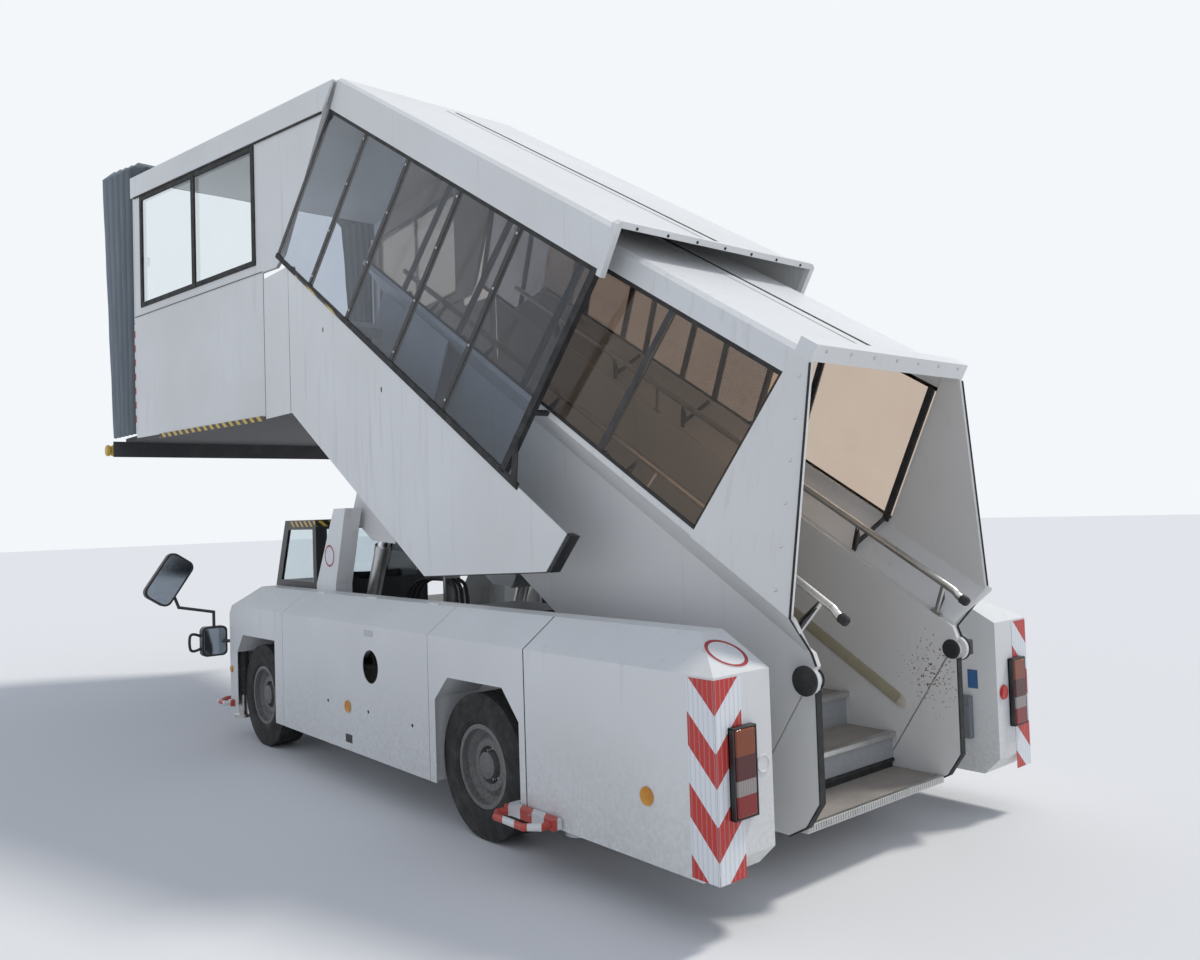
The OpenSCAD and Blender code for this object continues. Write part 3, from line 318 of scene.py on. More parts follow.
def folded_cloth(name, colour, faded):
    """Coated cloth, with painted shade darkening the valleys of its folds."""
    f = Finish(name, 0.85)
    # Painted shade: away from the fold crests on the sides and at the top, the cloth takes 35 percent of its
    # colour.
    side = f.band(f.math("ABSOLUTE", f.axis("Y")), 1.322, 1.385)
    unshaded_crest = f.math("MAXIMUM", side, f.band(f.axis("Z"), 5.3, 5.41))
    worn = f.band(f.noise(0.1, 6, (1, 1, 0.2)), 0.4, 0.8, 0.0, 0.5)
    base = f.blend(worn, colour, faded)
    f.colour(f.blend(unshaded_crest, tuple(c * 0.35 for c in colour), base))
    f.bump(f.noise(0.002, 2), 0.0003, 0.3)
    return f.material


shroud_cloth = folded_cloth("shroud_cloth", (0.2, 0.235, 0.265), (0.3, 0.33, 0.35))
SLOT_FINISH = {
    "white_paint": white_paint, "frame_paint": frame_paint, "engine_paint": engine_paint,
    "grey_paint": grey_paint, "bow_paint": bow_paint, "rim_paint": rim_paint, "steel": steel,
    "rod_chrome": rod_chrome, "rail_aluminium": rail_aluminium, "clear_glass": clear_glass,
    "bronze_glass": bronze_glass, "blue_glass": blue_glass, "black_plastic": black_plastic,
    "lamp_plastic": lamp_plastic, "tread_rubber": tread_mat, "bumper_rubber": bumper_rubber,
    "black_fabric": seat_fabric, "shroud_fabric": shroud_cloth, "tyre_rubber": tyre_rubber,
}
for row in frame["record"]["subparts"]:
    mesh = nodes[row["node"]].data
    mesh.materials.clear()
    mesh.materials.append(SLOT_FINISH[row["material_slot"]])
print("finishes on", len(nodes), "nodes")

# %% [markdown]
# ## Making small parts
# Every new part starts as a primitive, is shaped in edit mode, and is finished with a bevel, because
# no real edge is perfectly sharp.

# %% Modelling helpers
SOFT_EDGE = 0.0015


def start_fresh():
    """Leaves edit mode and deselects everything, because operators act on all that is selected."""
    if bpy.context.object and bpy.context.object.mode != "OBJECT":
        bpy.ops.object.mode_set(mode="OBJECT")
    bpy.ops.object.select_all(action="DESELECT")


def choose(piece):
    start_fresh()
    piece.select_set(True)
    bpy.context.view_layer.objects.active = piece
    return piece


def edit_all():
    """Enters edit mode with the whole mesh selected."""
    bpy.ops.object.mode_set(mode="EDIT")
    bpy.ops.mesh.select_all(action="SELECT")


def end_edit():
    """Turns all faces outwards and leaves edit mode."""
    bpy.ops.mesh.select_all(action="SELECT")
    bpy.ops.mesh.normals_make_consistent(inside=False)
    bpy.ops.object.mode_set(mode="OBJECT")


def settle(piece, turn=35):
    """Bakes the place into the mesh and smooths all but the real edges."""
    choose(piece)
    bpy.ops.object.transform_apply(location=True, rotation=True, scale=True)
    bpy.ops.object.shade_smooth_by_angle(angle=math.radians(turn))
    return piece


def use_modifier(piece, kind, **settings):
    choose(piece)
    modifier = piece.modifiers.new(kind.title(), kind)
    for key, value in settings.items():
        setattr(modifier, key, value)
    bpy.ops.object.modifier_apply(modifier=modifier.name)
    return piece


def round_edges(piece, width=SOFT_EDGE, segments=2):
    if width > 0:
        use_modifier(piece, "BEVEL", width=width, segments=segments, limit_method="ANGLE",
                     angle_limit=math.radians(30))
    return piece


def block(low, high, edge=SOFT_EDGE, segments=2):
    """A box between two corners with softened edges."""
    start_fresh()
    low, high = Vector(low), Vector(high)
    bpy.ops.mesh.primitive_cube_add(size=1, location=(low + high) / 2)
    piece = bpy.context.object
    piece.scale = high - low
    settle(piece)
    return settle(round_edges(piece, edge, segments))


def rect(u0, u1, v0, v1):
    """Corners of a rectangle, as pairs."""
    return [(u0, v0), (u1, v0), (u1, v1), (u0, v1)]


def side_panel(y, x0, x1, z0, z1):
    """Corners of an upright rectangle that faces sideways at y."""
    return [at(x, y, z) for x, z in rect(x0, x1, z0, z1)]


def board(corners, push, edge=SOFT_EDGE, segments=2):
    """A plate: an n-gon on the corners is extruded by push and its edges are softened."""
    start_fresh()
    bpy.ops.mesh.primitive_circle_add(vertices=len(corners), radius=1, fill_type="NGON")
    piece = bpy.context.object
    for vertex, corner in zip(piece.data.vertices, corners):
        vertex.co = Vector(corner)
    edit_all()
    bpy.ops.mesh.extrude_region_move(TRANSFORM_OT_translate={"value": Vector(push)})
    end_edit()
    return settle(round_edges(piece, edge, segments))


def turned(profile, centre, axis, steps=32, smooth=35):
    """A lathe part: the profile, pairs of radius and height, is spun about the axis."""
    start_fresh()
    bpy.ops.mesh.primitive_circle_add(vertices=len(profile), radius=1, fill_type="NOTHING")
    piece = bpy.context.object
    for vertex, (radius, height) in zip(piece.data.vertices, profile):
        vertex.co = (radius, 0, height)
    edit_all()
    bpy.ops.mesh.spin(steps=steps, angle=math.tau, center=(0, 0, 0), axis=(0, 0, 1))
    bpy.ops.mesh.select_all(action="SELECT")
    bpy.ops.mesh.remove_doubles(threshold=1e-5)
    bpy.ops.mesh.dissolve_degenerate(threshold=1e-6)
    bpy.ops.mesh.select_all(action="SELECT")
    bpy.ops.mesh.delete_loose(use_verts=True, use_edges=True, use_faces=False)
    end_edit()
    piece.rotation_euler = Vector(axis).to_track_quat("Z", "Y").to_euler()
    piece.location = centre
    return settle(piece, smooth)


def tube(points, radius, sides=4, bend=True):
    """A round tube along the points: a path given a bevel depth, then turned into a mesh."""
    start_fresh()
    bpy.ops.curve.primitive_nurbs_path_add(location=(0, 0, 0))
    path = bpy.context.object
    path.data.splines.clear()
    spline = path.data.splines.new("NURBS" if bend else "POLY")
    spline.points.add(len(points) - 1)
    for point, place in zip(spline.points, points):
        point.co = (*place, 1)
    if bend:
        spline.use_endpoint_u = True
        spline.order_u = 3
        spline.resolution_u = 4
    path.data.bevel_depth = radius
    path.data.bevel_resolution = sides
    path.data.use_fill_caps = True
    bpy.ops.object.convert(target="MESH")
    piece = bpy.context.object
    edit_all()
    bpy.ops.mesh.remove_doubles(threshold=1e-6)
    end_edit()
    return settle(piece, 50)


def copied(piece):
    twin = piece.copy()
    twin.data = piece.data.copy()
    bpy.context.scene.collection.objects.link(twin)
    return twin


def spread(piece, moves):
    """Copies a part to every move and joins the copies."""
    made = []
    for move in moves:
        twin = copied(piece)
        twin.data.transform(move)
        if move.determinant() < 0:
            twin.data.flip_normals()
        made.append(twin)
    bpy.data.objects.remove(piece)
    return joined(made)


def joined(parts):
    start_fresh()
    for part in parts:
        part.select_set(True)
    bpy.context.view_layer.objects.active = parts[0]
    if len(parts) > 1:
        bpy.ops.object.join()
    return bpy.context.object


OTHER_SIDE = Matrix.Scale(-1, 4, Vector((0, 1, 0)))


def both(piece):
    """The piece and its mirror image."""
    return spread(piece, [Matrix.Identity(4), OTHER_SIDE])


def shift(*offset):
    return Matrix.Translation(Vector(offset))


def finished(piece, name, material, body="chassis", stands_for=()):
    """Names a part, gives it its finish, and lets it ride on its body."""
    piece.name = name
    piece.data.name = name
    piece.data.materials.clear()
    piece.data.materials.append(material)
    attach(piece, body)
    for node in stands_for:
        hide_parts(node)
    print(name, len(piece.data.polygons), "faces")
    return piece


def pan_head(radius, height=0.004):
    """A round screw head, at the origin and facing +Z."""
    return turned([(0, 0), (radius, 0), (radius * 0.95, height * 0.5), (radius * 0.6, height), (0, height)],
                  (0, 0, 0), (0, 0, 1), 10)


def screws(places, normal, name, body, material, radius):
    turn = Vector(normal).to_track_quat("Z", "Y").to_matrix().to_4x4()
    rows = spread(pan_head(radius), [Matrix.Translation(place) @ turn for place in places])
    finished(rows, name, material, body)


def screws_both(places, normal, name, body, radius):
    """Steel screws on the left side, and their mirror images on the right."""
    screws(places, normal, name + "_left", body, steel, radius)
    places = [OTHER_SIDE @ place for place in places]
    screws(places, OTHER_SIDE @ Vector(normal), name + "_right", body, steel, radius)


# %% [markdown]
# ## Striped tape
# Warning boards and tapes carry two colours in slanting bands. A band is a distance along one
# direction, cut into equal parts, so one material serves each direction.

# %% Stripes


def striped(name, direction, period, first, second, share=0.5, offset=0.0, ribs=None, worn=0.25):
    """Bands of two colours across a direction, with scuffs, and fine ribs if it is sheeting."""
    f = Finish(name, 0.35)
    along = f.add("VectorMath", operation="DOT_PRODUCT")
    f.put(along.inputs[0], f.place)
    along.inputs[1].default_value = direction
    turns = f.math("FRACT", f.math("ADD", f.math("DIVIDE", along.outputs["Value"], period), offset + 100))
    band = f.math("GREATER_THAN", turns, share)
    colour = f.blend(band, first, second)
    scuffs = f.band(f.noise(0.03, 8), 0.62, 0.74, 0.0, worn)
    colour = f.blend(scuffs, colour, (0.45, 0.43, 0.4))
    if ribs:
        wave = f.add("TexWave", Vector=f.place, Scale=ribs[1], bands_direction=ribs[0])
        lines = f.band(wave.outputs["Fac"], 0.82, 0.98)
        colour = f.blend(f.math("MULTIPLY", lines, 0.35), colour, (0.35, 0.4, 0.5))
        f.bump(lines, 0.0006)
    f.colour(colour)
    f.rough(f.band(f.noise(0.05, 5), 0.3, 0.7, 0.28, 0.5))
    return f.material


SIGNAL_RED, SIGNAL_WHITE = (0.55, 0.035, 0.02), (0.8, 0.82, 0.84)
TAPE_BLACK, TAPE_YELLOW = (0.025, 0.024, 0.022), (0.62, 0.42, 0.06)
CHEVRON, RED_SHARE = 0.282, 0.48  # length of a red and a white band together, and the red part of it
BOARD_LOW, BOARD_HIGH = 0.25, 1.04
BODY_HALF = 1.25


def chevrons(name, direction, corner, ribs, worn=0.25):
    """Red and white bands, set so that a red one ends at the board's top corner."""
    start = -(corner + BOARD_HIGH) / CHEVRON + RED_SHARE
    return striped(name, direction, CHEVRON, SIGNAL_RED, SIGNAL_WHITE, RED_SHARE, start, ribs, worn)


side_chevrons = chevrons("chevrons_side", (1, 0, 1), FOOT_X, ("X", 12), 0.2)
rear_chevrons = {side: chevrons("chevrons_rear_" + name, (0, side, 1), BODY_HALF, ("Y", 12))
                 for side, name in SIDES}
hazard_tape = striped("hazard_tape", (1, 0, 1.2), 0.115, TAPE_BLACK, TAPE_YELLOW, 0.55, worn=0.5)
hazard_small = striped("hazard_small", (1, 0, 1.2), 0.085, TAPE_BLACK, TAPE_YELLOW, 0.6, worn=0.5)
red_white_tape = striped("red_white_tape", (0, 1, 1), 0.14, SIGNAL_RED, SIGNAL_WHITE, worn=0.4)
bow_stripes = striped("bow_stripes", (1, 1, 0), 0.19, (0.5, 0.07, 0.05), (0.7, 0.7, 0.7), 0.5, worn=0.8)
nodes["guard_bows"].data.materials[0] = bow_stripes
print("striped finishes: 7")

# %% [markdown]
# ## Rear corners
# Red and white boards wrap the rear corners. The boards are thin plates with a trimmed edge, and a
# tail lamp, four colours in one lens, sits over the rear one.

# %% Boards and tail lamps
ON_SIDE, ON_REAR = BODY_HALF + 0.0005, 0.0005  # just off the body's side and rear faces
BOARD_WIDE, BOARD_THICK = 0.148, 0.0018
for side, name in SIDES:
    corners = side_panel(side * ON_SIDE, -BOARD_WIDE, 0, BOARD_LOW, BOARD_HIGH)
    finished(board(corners, (0, side * BOARD_THICK, 0), 0.0005, 1),
             "warning_board_side_" + name, side_chevrons)
    corners = [at(ON_REAR, side * y, z) for y, z in ((1.249, BOARD_LOW), (1.249, BOARD_HIGH),
                                                     (1.098, BOARD_HIGH), (1.098, BOARD_LOW))]
    finished(board(corners, (BOARD_THICK, 0, 0), 0.0005, 1),
             "warning_board_rear_" + name, rear_chevrons[side])


def lens_bands(name):
    """Amber, dark red, clear and red from the top down, with fine ribs inside the lens."""
    f = Finish(name, 0.12)
    height = f.axis("Z")
    colour = (0.26, 0.008, 0.006)
    joints = ((0.58, (0.34, 0.3, 0.28)), (0.64, (0.09, 0.006, 0.005)), (0.735, (0.26, 0.05, 0.006)))
    for z, above in joints:
        colour = f.blend(f.band(height, z - 0.001, z + 0.001), colour, above)
    wave = f.add("TexWave", Vector=f.place, Scale=22, bands_direction="Y")
    f.colour(f.blend(f.band(wave.outputs["Fac"], 0.0, 1.0, 0.0, 0.3), colour, (0.05, 0.01, 0.01)))
    f.shader.inputs["Coat Weight"].default_value = 0.15
    f.bump(wave.outputs["Fac"], 0.0008, 0.4)
    return f.material


lens = lens_bands("tail_lens")
LAMP_LOW, LENS_LOW, LENS_HIGH, LAMP_HIGH = 0.486, 0.494, 0.839, 0.847
LAMP_RIM = 0.008
parts = []
for side in (-1, 1):
    low, high = sorted((side * 1.053, side * 1.169))
    parts.append(block(at(0.01, low, LENS_LOW), at(0.034, high, LENS_HIGH), 0.008, 3))
finished(joined(parts), "tail_lenses", lens, "chassis", ["lamps"])
parts = []
for side in (-1, 1):
    low, high = sorted((side * 1.041, side * 1.181))
    parts.append(block(at(-0.001, low, LAMP_LOW), at(0.013, high, LAMP_HIGH), 0.004))
    for y0, y1, z0, z1 in ((low, low + LAMP_RIM, LAMP_LOW, LAMP_HIGH),
                           (high - LAMP_RIM, high, LAMP_LOW, LAMP_HIGH),
                           (low, high, LAMP_LOW, LENS_LOW), (low, high, LENS_HIGH, LAMP_HIGH)):
        parts.append(block(at(0.0, y0, z0), at(0.03, y1, z1), 0.003))
finished(joined(parts), "tail_lamp_frames", black_plastic)

# %% [markdown]
# ## Reflectors and stickers
# A reflector is a turned disc with a raised rim. Stickers are blank: a ring of red on white.

# %% Reflectors
amber = plastic("amber_lens", (0.62, 0.24, 0.015), 0.15, 0.006, (0.75, 0.4, 0.05))
red_lens = plastic("red_lens", (0.5, 0.02, 0.015), 0.15, 0.006)
REFLECTOR = [(0, 0), (0.038, 0), (0.04, 0.003), (0.038, 0.008), (0.034, 0.006), (0.0, 0.009)]
ambers = [turned(REFLECTOR, at(x, side * ON_SIDE, 0.517), (0, side, 0), 28)
          for side in (-1, 1) for x in (-0.4, -3.2)]
finished(joined(ambers), "side_reflectors", amber)
small = [(radius * 0.7, height) for radius, height in REFLECTOR]
fronts = [turned(small, at(-5.29, side * ON_SIDE, 0.54), (0, side, 0), 24) for side in (-1, 1)]
finished(joined(fronts), "front_side_reflectors", amber)
rear = turned(REFLECTOR, at(ON_REAR, 0.983, 0.676), (1, 0, 0), 28)
finished(rear, "rear_reflector", red_lens)
PLUG = [(0, 0.001), (0.03, 0.001), (0.032, 0.004), (0.036, 0.004), (0.038, 0.0), (0, 0.0)]
finished(turned(PLUG, at(ON_REAR, -0.976, 0.672), (1, 0, 0), 28), "rear_plug", white_paint)

# %% Headlamps and stickers
front_lens = plastic("front_lens", (0.7, 0.72, 0.74), 0.08, 0.02)
LENS = [(0, 0), (0.08, 0), (0.084, 0.006), (0.078, 0.014), (0.07, 0.01), (0.045, 0.022), (0.0, 0.027)]
fronts = [turned(LENS, at(-5.3185, side * 0.7, 0.64), (-1, 0, 0), 36) for side in (-1, 1)]
finished(joined(fronts), "headlamps", front_lens)


def ring_sticker(name, centre, normal, radius):
    """A blank white sticker with a red ring, drawn by distance from its centre."""
    f = Finish(name + "_print", 0.4)
    away = f.distance(centre)
    ring = f.band(away, radius * 0.8, radius * 0.806)
    colour = f.blend(ring, (0.74, 0.75, 0.76), (0.36, 0.02, 0.025))
    rim = f.band(away, radius * 0.965, radius * 0.97)
    colour = f.blend(rim, colour, (0.7, 0.7, 0.7))
    f.colour(f.blend(f.band(f.noise(0.03, 7), 0.55, 0.75, 0.0, 0.35), colour, (0.45, 0.42, 0.4)))
    return turned([(0, 0), (radius, 0), (radius, 0.0008), (0, 0.001)], centre, normal, 40), f.material


slope_normal = Vector((0.14, 0, 0.25)).normalized()
for name, centre, normal, radius in (
        ("rear_sticker", at(-0.112, -1.05, 1.1132), slope_normal, 0.098),
        ("pillar_sticker", at(-4.154, -0.9188, 1.444), (0, -1, 0), 0.083)):
    sticker, ink = ring_sticker(name, centre + Vector(normal) * 0.0005, normal, radius)
    finished(sticker, name, ink)

# %% [markdown]
# ## Window frames and posts
# The walls lean, so each strip is a plate whose corners are given along and square to the flight,
# then pushed inward. The left side is made and copied to the right.

# %% Leaning strips


def lower_y(s):
    """Half the width between the lower flight's walls, which lean inward with height."""
    return 0.81 - 0.168 * (s - 1.075) / 0.835


def upper_y(s):
    """The same for the upper flight."""
    return 0.98 - 0.19 * (s - 0.72) / 1.2


def leaning(corners, width_at, out, thick, edge=0.001):
    """A plate out metres off a leaning wall."""
    return board([on_flight(t, -width_at(s) - out, s) for t, s in corners], (0, thick, 0), edge, 1)


def strip(t0, t1, s0, s1, width_at, out, thick):
    return leaning(rect(t0, t1, s0, s1), width_at, out, thick)


PROUD, THICK, THIN = 0.006, 0.0075, 0.0035
parts = [
    strip(2.37, 6.17, 0.704, 0.742, upper_y, PROUD, THICK),
    strip(2.55, 6.17, 1.895, 1.919, upper_y, 0.0, THIN),
    strip(2.5205, 2.572, 0.722, 1.915, upper_y, PROUD, THICK),
    leaning([(2.37, 0.715), (2.43, 0.715), (2.572, 0.93), (2.5205, 0.93)], upper_y, 0.012, 0.007),
]
finished(both(joined(parts)), "upper_window_strips", black_rubber, UPPER)
parts = [
    strip(1.285, 5.0, 1.106, 1.122, lower_y, 0.0, THIN), strip(1.285, 5.0, 1.888, 1.909, lower_y, 0.0, THIN),
    strip(1.281, 1.318, 1.09, 1.9, lower_y, -0.034, 0.02),
]
finished(both(joined(parts)), "lower_window_strips", black_rubber, LOWER)

# %% Rail brackets and ends
UPPER_POSTS, LOWER_POSTS = (3.3, 4.03, 4.77, 5.47), (2.06, 2.84, 3.62, 4.4)
END_BRACKET, FIRST_BRACKET = 0.715, 1.3
RAIL_Y, RAIL_S = 0.5, 1.08
GUSSET = ((-0.506, 1.066), (-0.576, 0.985), (-0.588, 0.905), (-0.574, 0.905), (-0.538, 0.985))
gusset_thick = on_flight(0.006, 0, 0) - on_flight(0, 0, 0)
parts = []
for t in (END_BRACKET, FIRST_BRACKET, *LOWER_POSTS):
    if t > END_BRACKET:
        parts.append(tube([on_flight(t, -0.745, 1.1), on_flight(t, -0.575, 0.93)], 0.013, 4, False))
    for inner in (0.0, 0.016):
        parts.append(board([on_flight(t - 0.02 + inner, y, s) for y, s in GUSSET], gusset_thick, 0.001, 1))
finished(both(joined(parts)), "inner_posts", black_plastic, LOWER)
KNOB = [(0, 0), (0.02, 0), (0.024, 0.005), (0.024, 0.035), (0.018, 0.045), (0, 0.047)]
down_slope = on_flight(-1, 0, 0) - on_flight(0, 0, 0)
parts = [turned(KNOB, on_flight(0.592, side * RAIL_Y, 1.068), down_slope, 20) for side in (-1, 1)]
finished(joined(parts), "rail_ends", black_rubber, LOWER)
RAIL_BEND = ((0.66, RAIL_S), (0.632, RAIL_S), (0.61, 1.069), (0.588, 1.068))
bend = tube([on_flight(t, -RAIL_Y, s) for t, s in RAIL_BEND], 0.0192, 6)
finished(both(bend), "rail_bends", rail_aluminium, LOWER)

# %% [markdown]
# ## Edges, seams and end caps
# Dark rubber follows the open rear edge, ribs close the roof joints, and a cap closes the tip of the
# sliding side panel. Each is a thin extruded plate or a tube on the edge.

# %% Edges and seams
edge_line = [on_flight(1.176, -lower_y(2.0) - 0.002, 2.0), on_flight(0.622, -0.812, 1.075),
             at(-0.028, -0.5995, 1.066), at(-0.006, -0.5995, 1.011)]
finished(both(tube(edge_line, 0.0055, 3, False)), "rear_edge_rubber", black_rubber, LOWER)


def roof_rib(t0, t1, s, y0, y1, rise):
    return board([on_flight(t, y, s) for t, y in ((t0, y0), (t1, y0), (t1, y1), (t0, y1))],
                 on_flight(0, 0, rise) - on_flight(0, 0, 0), 0.001, 1)


for name, t0, t1, s in (("lower", 1.3, 5.0, 2.0352), ("upper", 2.53, 5.88, 2.1602)):
    body = name + "_flight"
    finished(roof_rib(t0, t1, s, 0.1, 0.124, 0.007), name + "_roof_seam", black_rubber, body)
    finished(roof_rib(t0, t1, s, 0.02, 0.099, 0.004), name + "_roof_lip", white_paint, body)
PANEL_Y = -0.9735
cap = [on_flight(1.868, PANEL_Y, 0.718), at(-1.394, PANEL_Y, 1.4), at(-1.47, PANEL_Y, 1.408),
       on_flight(1.93, PANEL_Y, 0.7)]
rim_line = [at(-1.42, PANEL_Y, 1.4045), at(-2.665, PANEL_Y, 1.3445)]
parts = [board(cap, (0, 0.07, 0), 0.003), tube(rim_line, 0.006, 3, False)]
finished(both(joined(parts)), "panel_end_caps", black_plastic, UPPER)

# %% Screws
places = [on_flight(1.1796, 0.18 * k, 2.058) for k in range(-3, 4)]
screws(places, down_slope, "header_screws", LOWER, steel, 0.009)
places = [on_flight(2.4796, 0.22 * k, 2.168) for k in range(-3, 4)]
screws(places, down_slope, "upper_header_screws", UPPER, black_rubber, 0.009)
ear = [(1.165 - 0.445 * k, 1.93 - 0.8 * k) for k in (0.0, 0.2, 0.4, 0.6, 0.8, 1.0)]
places = [on_flight(t + 0.028, -lower_y(s) - 0.0003, s) for t, s in ear]
screws_both(places, (0, -1, 0.2), "ear_screws", LOWER, 0.008)
places = [on_flight(t, -upper_y(s) + 0.0019, s)
          for t in (*UPPER_POSTS, 2.545) for s in (0.8, 1.16, 1.52, 1.86)]
screws_both(places, (0, -1, 0), "upper_post_screws", UPPER, 0.008)

# %% [markdown]
# ## Steps
# Every tread carries a bright nosing. The foot plate has a mat, a bright serrated lip, a brush below the
# first riser, dark edging on its cheeks and a cover on each hinge.

# %% Nosings and foot
GOING, STEPS = 0.29, 13
RISE = GOING * math.tan(SLOPE)
nose = [(0.0005, -0.024), (0.004, -0.024), (0.005, -0.002), (0.002, 0.0035), (-0.034, 0.0035),
        (-0.034, 0.0003), (0.0005, 0.0003)]
single = board([at(-0.392 + x, -0.557, 0.478 + z) for x, z in nose], (0, 1.114, 0), 0.0005, 1)
rows = spread(single, [shift(-GOING * k, 0, RISE * k) for k in range(STEPS)])
finished(rows, "step_nosings", steel, LOWER)
mat = block(at(-0.456, -0.556, 0.2912), at(-0.14, 0.556, 0.2952), 0.001, 1)
finished(mat, "foot_mat", tread_mat, "foot")
lip = block(at(-0.1385, -0.556, 0.2915), at(-0.1165, 0.556, 0.2975), 0.001, 1)
tooth = block(at(-0.1178, -0.556, 0.266), at(-0.1125, -0.545, 0.2965), 0.001, 1)
teeth = spread(tooth, [shift(0, 0.0182 * k, 0) for k in range(61)])
finished(joined([lip, teeth]), "foot_lip", rail_aluminium, "foot")
strand = block(at(-0.4105, -0.552, 0.2925), at(-0.4045, -0.54, 0.33), 0.001, 1)
strands = spread(strand, [shift(0, 0.0152 * k, 0) for k in range(72)])
holder = block(at(-0.4115, -0.554, 0.322), at(-0.4015, 0.554, 0.34), 0.001, 1)
finished(joined([strands, holder]), "foot_brush", black_rubber, LOWER)
edging = [(-0.0195, 0.905), (-0.0195, 0.42), (-0.0945, 0.305), (-0.19, 0.2495), (-0.19, 0.2425),
          (-0.091, 0.298), (-0.0125, 0.417), (-0.0125, 0.905)]
edging = board([at(x, -0.6, z) for x, z in edging], (0, 0.04, 0), 0.001, 1)
finished(both(edging), "foot_edging", black_rubber, "foot")

# %% Hinge covers and foot lamp
HINGE = (-0.045, 0.95)
COVER = [(0, 0), (0.06, 0), (0.066, 0.006), (0.066, 0.016), (0.058, 0.024), (0.028, 0.03), (0, 0.031)]
INNER_COVER = [(0, 0), (0.048, 0), (0.05, 0.003), (0.044, 0.01), (0, 0.011)]
parts = [turned(COVER, at(HINGE[0], side * 0.6215, HINGE[1]), (0, side, 0), 32) for side in (-1, 1)]
parts += [turned(INNER_COVER, at(HINGE[0], side * 0.5615, HINGE[1]), (0, -side, 0), 28) for side in (-1, 1)]
finished(joined(parts), "hinge_covers", black_rubber, LOWER)
lamp_box = joined([block(at(-0.085, 0.655, 0.905), at(-0.02, 0.735, 0.985), 0.008, 3),
                   block(at(-0.06, 0.6525, 0.935), at(-0.04, 0.6565, 0.955), 0.001, 1)])
finished(lamp_box, "foot_lamp", black_plastic, LOWER)

# %% Wall strips
WALL_Y = -0.5588
strip_beige = plastic("strip_cover", (0.36, 0.32, 0.22), 0.5, 0.003, (0.46, 0.42, 0.32))
cap_cream = plastic("strip_cap", (0.58, 0.54, 0.45), 0.45, 0.003, (0.65, 0.62, 0.55))
band = [on_flight(t, WALL_Y, s) for t, s in rect(0.655, 4.6, 0.34, 0.405)]
finished(both(board(band, (0, 0.01, 0), 0.003, 2)), "wall_strips", strip_beige, LOWER)
end = [(0.654, 0.338), (0.654, 0.407), (0.63, 0.405), (0.604, 0.392), (0.594, 0.3725),
       (0.604, 0.353), (0.63, 0.34)]
end = board([on_flight(t, WALL_Y, s) for t, s in end], (0, 0.012, 0), 0.003, 2)
finished(both(end), "strip_caps", cap_cream, LOWER)
places = [on_flight(0.638, WALL_Y + 0.0126, s) for s in (0.395, 0.35)]
screws_both(places, (0, 1, 0), "strip_screws", LOWER, 0.005)

# %% [markdown]
# ## Landing
# The side windows have black frames with a post in the middle. A ribbed, striped bumper is turned on a
# lathe. The shroud is a cloth hung in folds, so it is a grid laid on the folds' outline.

# %% Landing windows and tapes
FLARE = math.radians(8.5)
wall_out = Vector((math.sin(FLARE), -math.cos(FLARE), 0))


def on_wall(x, z, out=0.0):
    """A point on the landing's left wall, which flares outward to the front."""
    return at(x, -0.97 - (-5.19 - x) * math.tan(FLARE), z) + wall_out * out


def wall_board(corners, out, thick, edge=0.001):
    return board([on_wall(x, z, out) for x, z in corners], wall_out * thick, edge, 1)


def eave(x):
    """Height of the upper edge of the landing's window."""
    return 5.03 + (-4.11 - x) * 0.14 / 3.49 - 0.22


X0, X1, Z0 = -7.462, -5.308, 3.848  # the window's front end, rear end and sill
FRAME_WIDE, FRAME_SUNK = 0.045, -0.006
parts = [
    wall_board(rect(X0, X1, Z0, Z0 + FRAME_WIDE), FRAME_SUNK, 0.012),
    wall_board([(X0, eave(X0) - FRAME_WIDE), (X1, eave(X1) - FRAME_WIDE), (X1, eave(X1)), (X0, eave(X0))],
               FRAME_SUNK, 0.012),
    wall_board(rect(X0, X0 + 0.05, Z0, eave(X0)), FRAME_SUNK, 0.0125),
    wall_board(rect(X1 - 0.05, X1, Z0, eave(X1)), FRAME_SUNK, 0.0125),
    wall_board([(-6.4, Z0), (-6.34, Z0), (-6.34, eave(-6.34)), (-6.4, eave(-6.4))], FRAME_SUNK, 0.016),
    wall_board(rect(-7.405, -7.385, 4.25, 4.34), 0.004, 0.02),
]
finished(both(joined(parts)), "landing_window_frames", black_rubber, LANDING)
TAPE_THICK, TAPE_EDGE = 0.0012, 0.0002
tape = wall_board(rect(-7.1, -5.21, 2.54, 2.582), 0.0062, TAPE_THICK, TAPE_EDGE)
finished(both(tape), "landing_tape", hazard_tape, LANDING)
low_edge = wall_board(rect(-7.598, -5.2, 2.57, 2.576), -0.012, 0.01)
finished(both(low_edge), "landing_low_edge", black_rubber, LANDING)
tape = board(side_panel(-1.3285, -7.6385, -7.603, 2.7, 3.72), (0, -TAPE_THICK, 0), TAPE_EDGE, 1)
finished(both(tape), "front_post_tape", red_white_tape, LANDING)

# %% Bumper
VALLEY, CREST, RIB = 0.048, 0.059, 0.0482  # radii of the bumper, and the length of one rib
ribs = [(0, -1.449)]
for k in range(60):
    y = -1.446 + k * RIB
    ribs += [(VALLEY, y), (0.058, y + 0.01), (CREST, y + 0.03), (VALLEY, y + 0.0402)]
ribs += [(VALLEY, 1.4475), (0, 1.4495)]
bumper_bands = striped("bumper_bands", (0, 1, 0.3), 0.29, TAPE_BLACK, TAPE_YELLOW, 0.55, worn=0.6)
bumper = turned(ribs, at(-8.3223, 0, FLOOR_Z - 0.12), (0, 1, 0), 24)
finished(bumper, "bumper_ribbed", bumper_bands, LANDING, ["platform_bumper"])

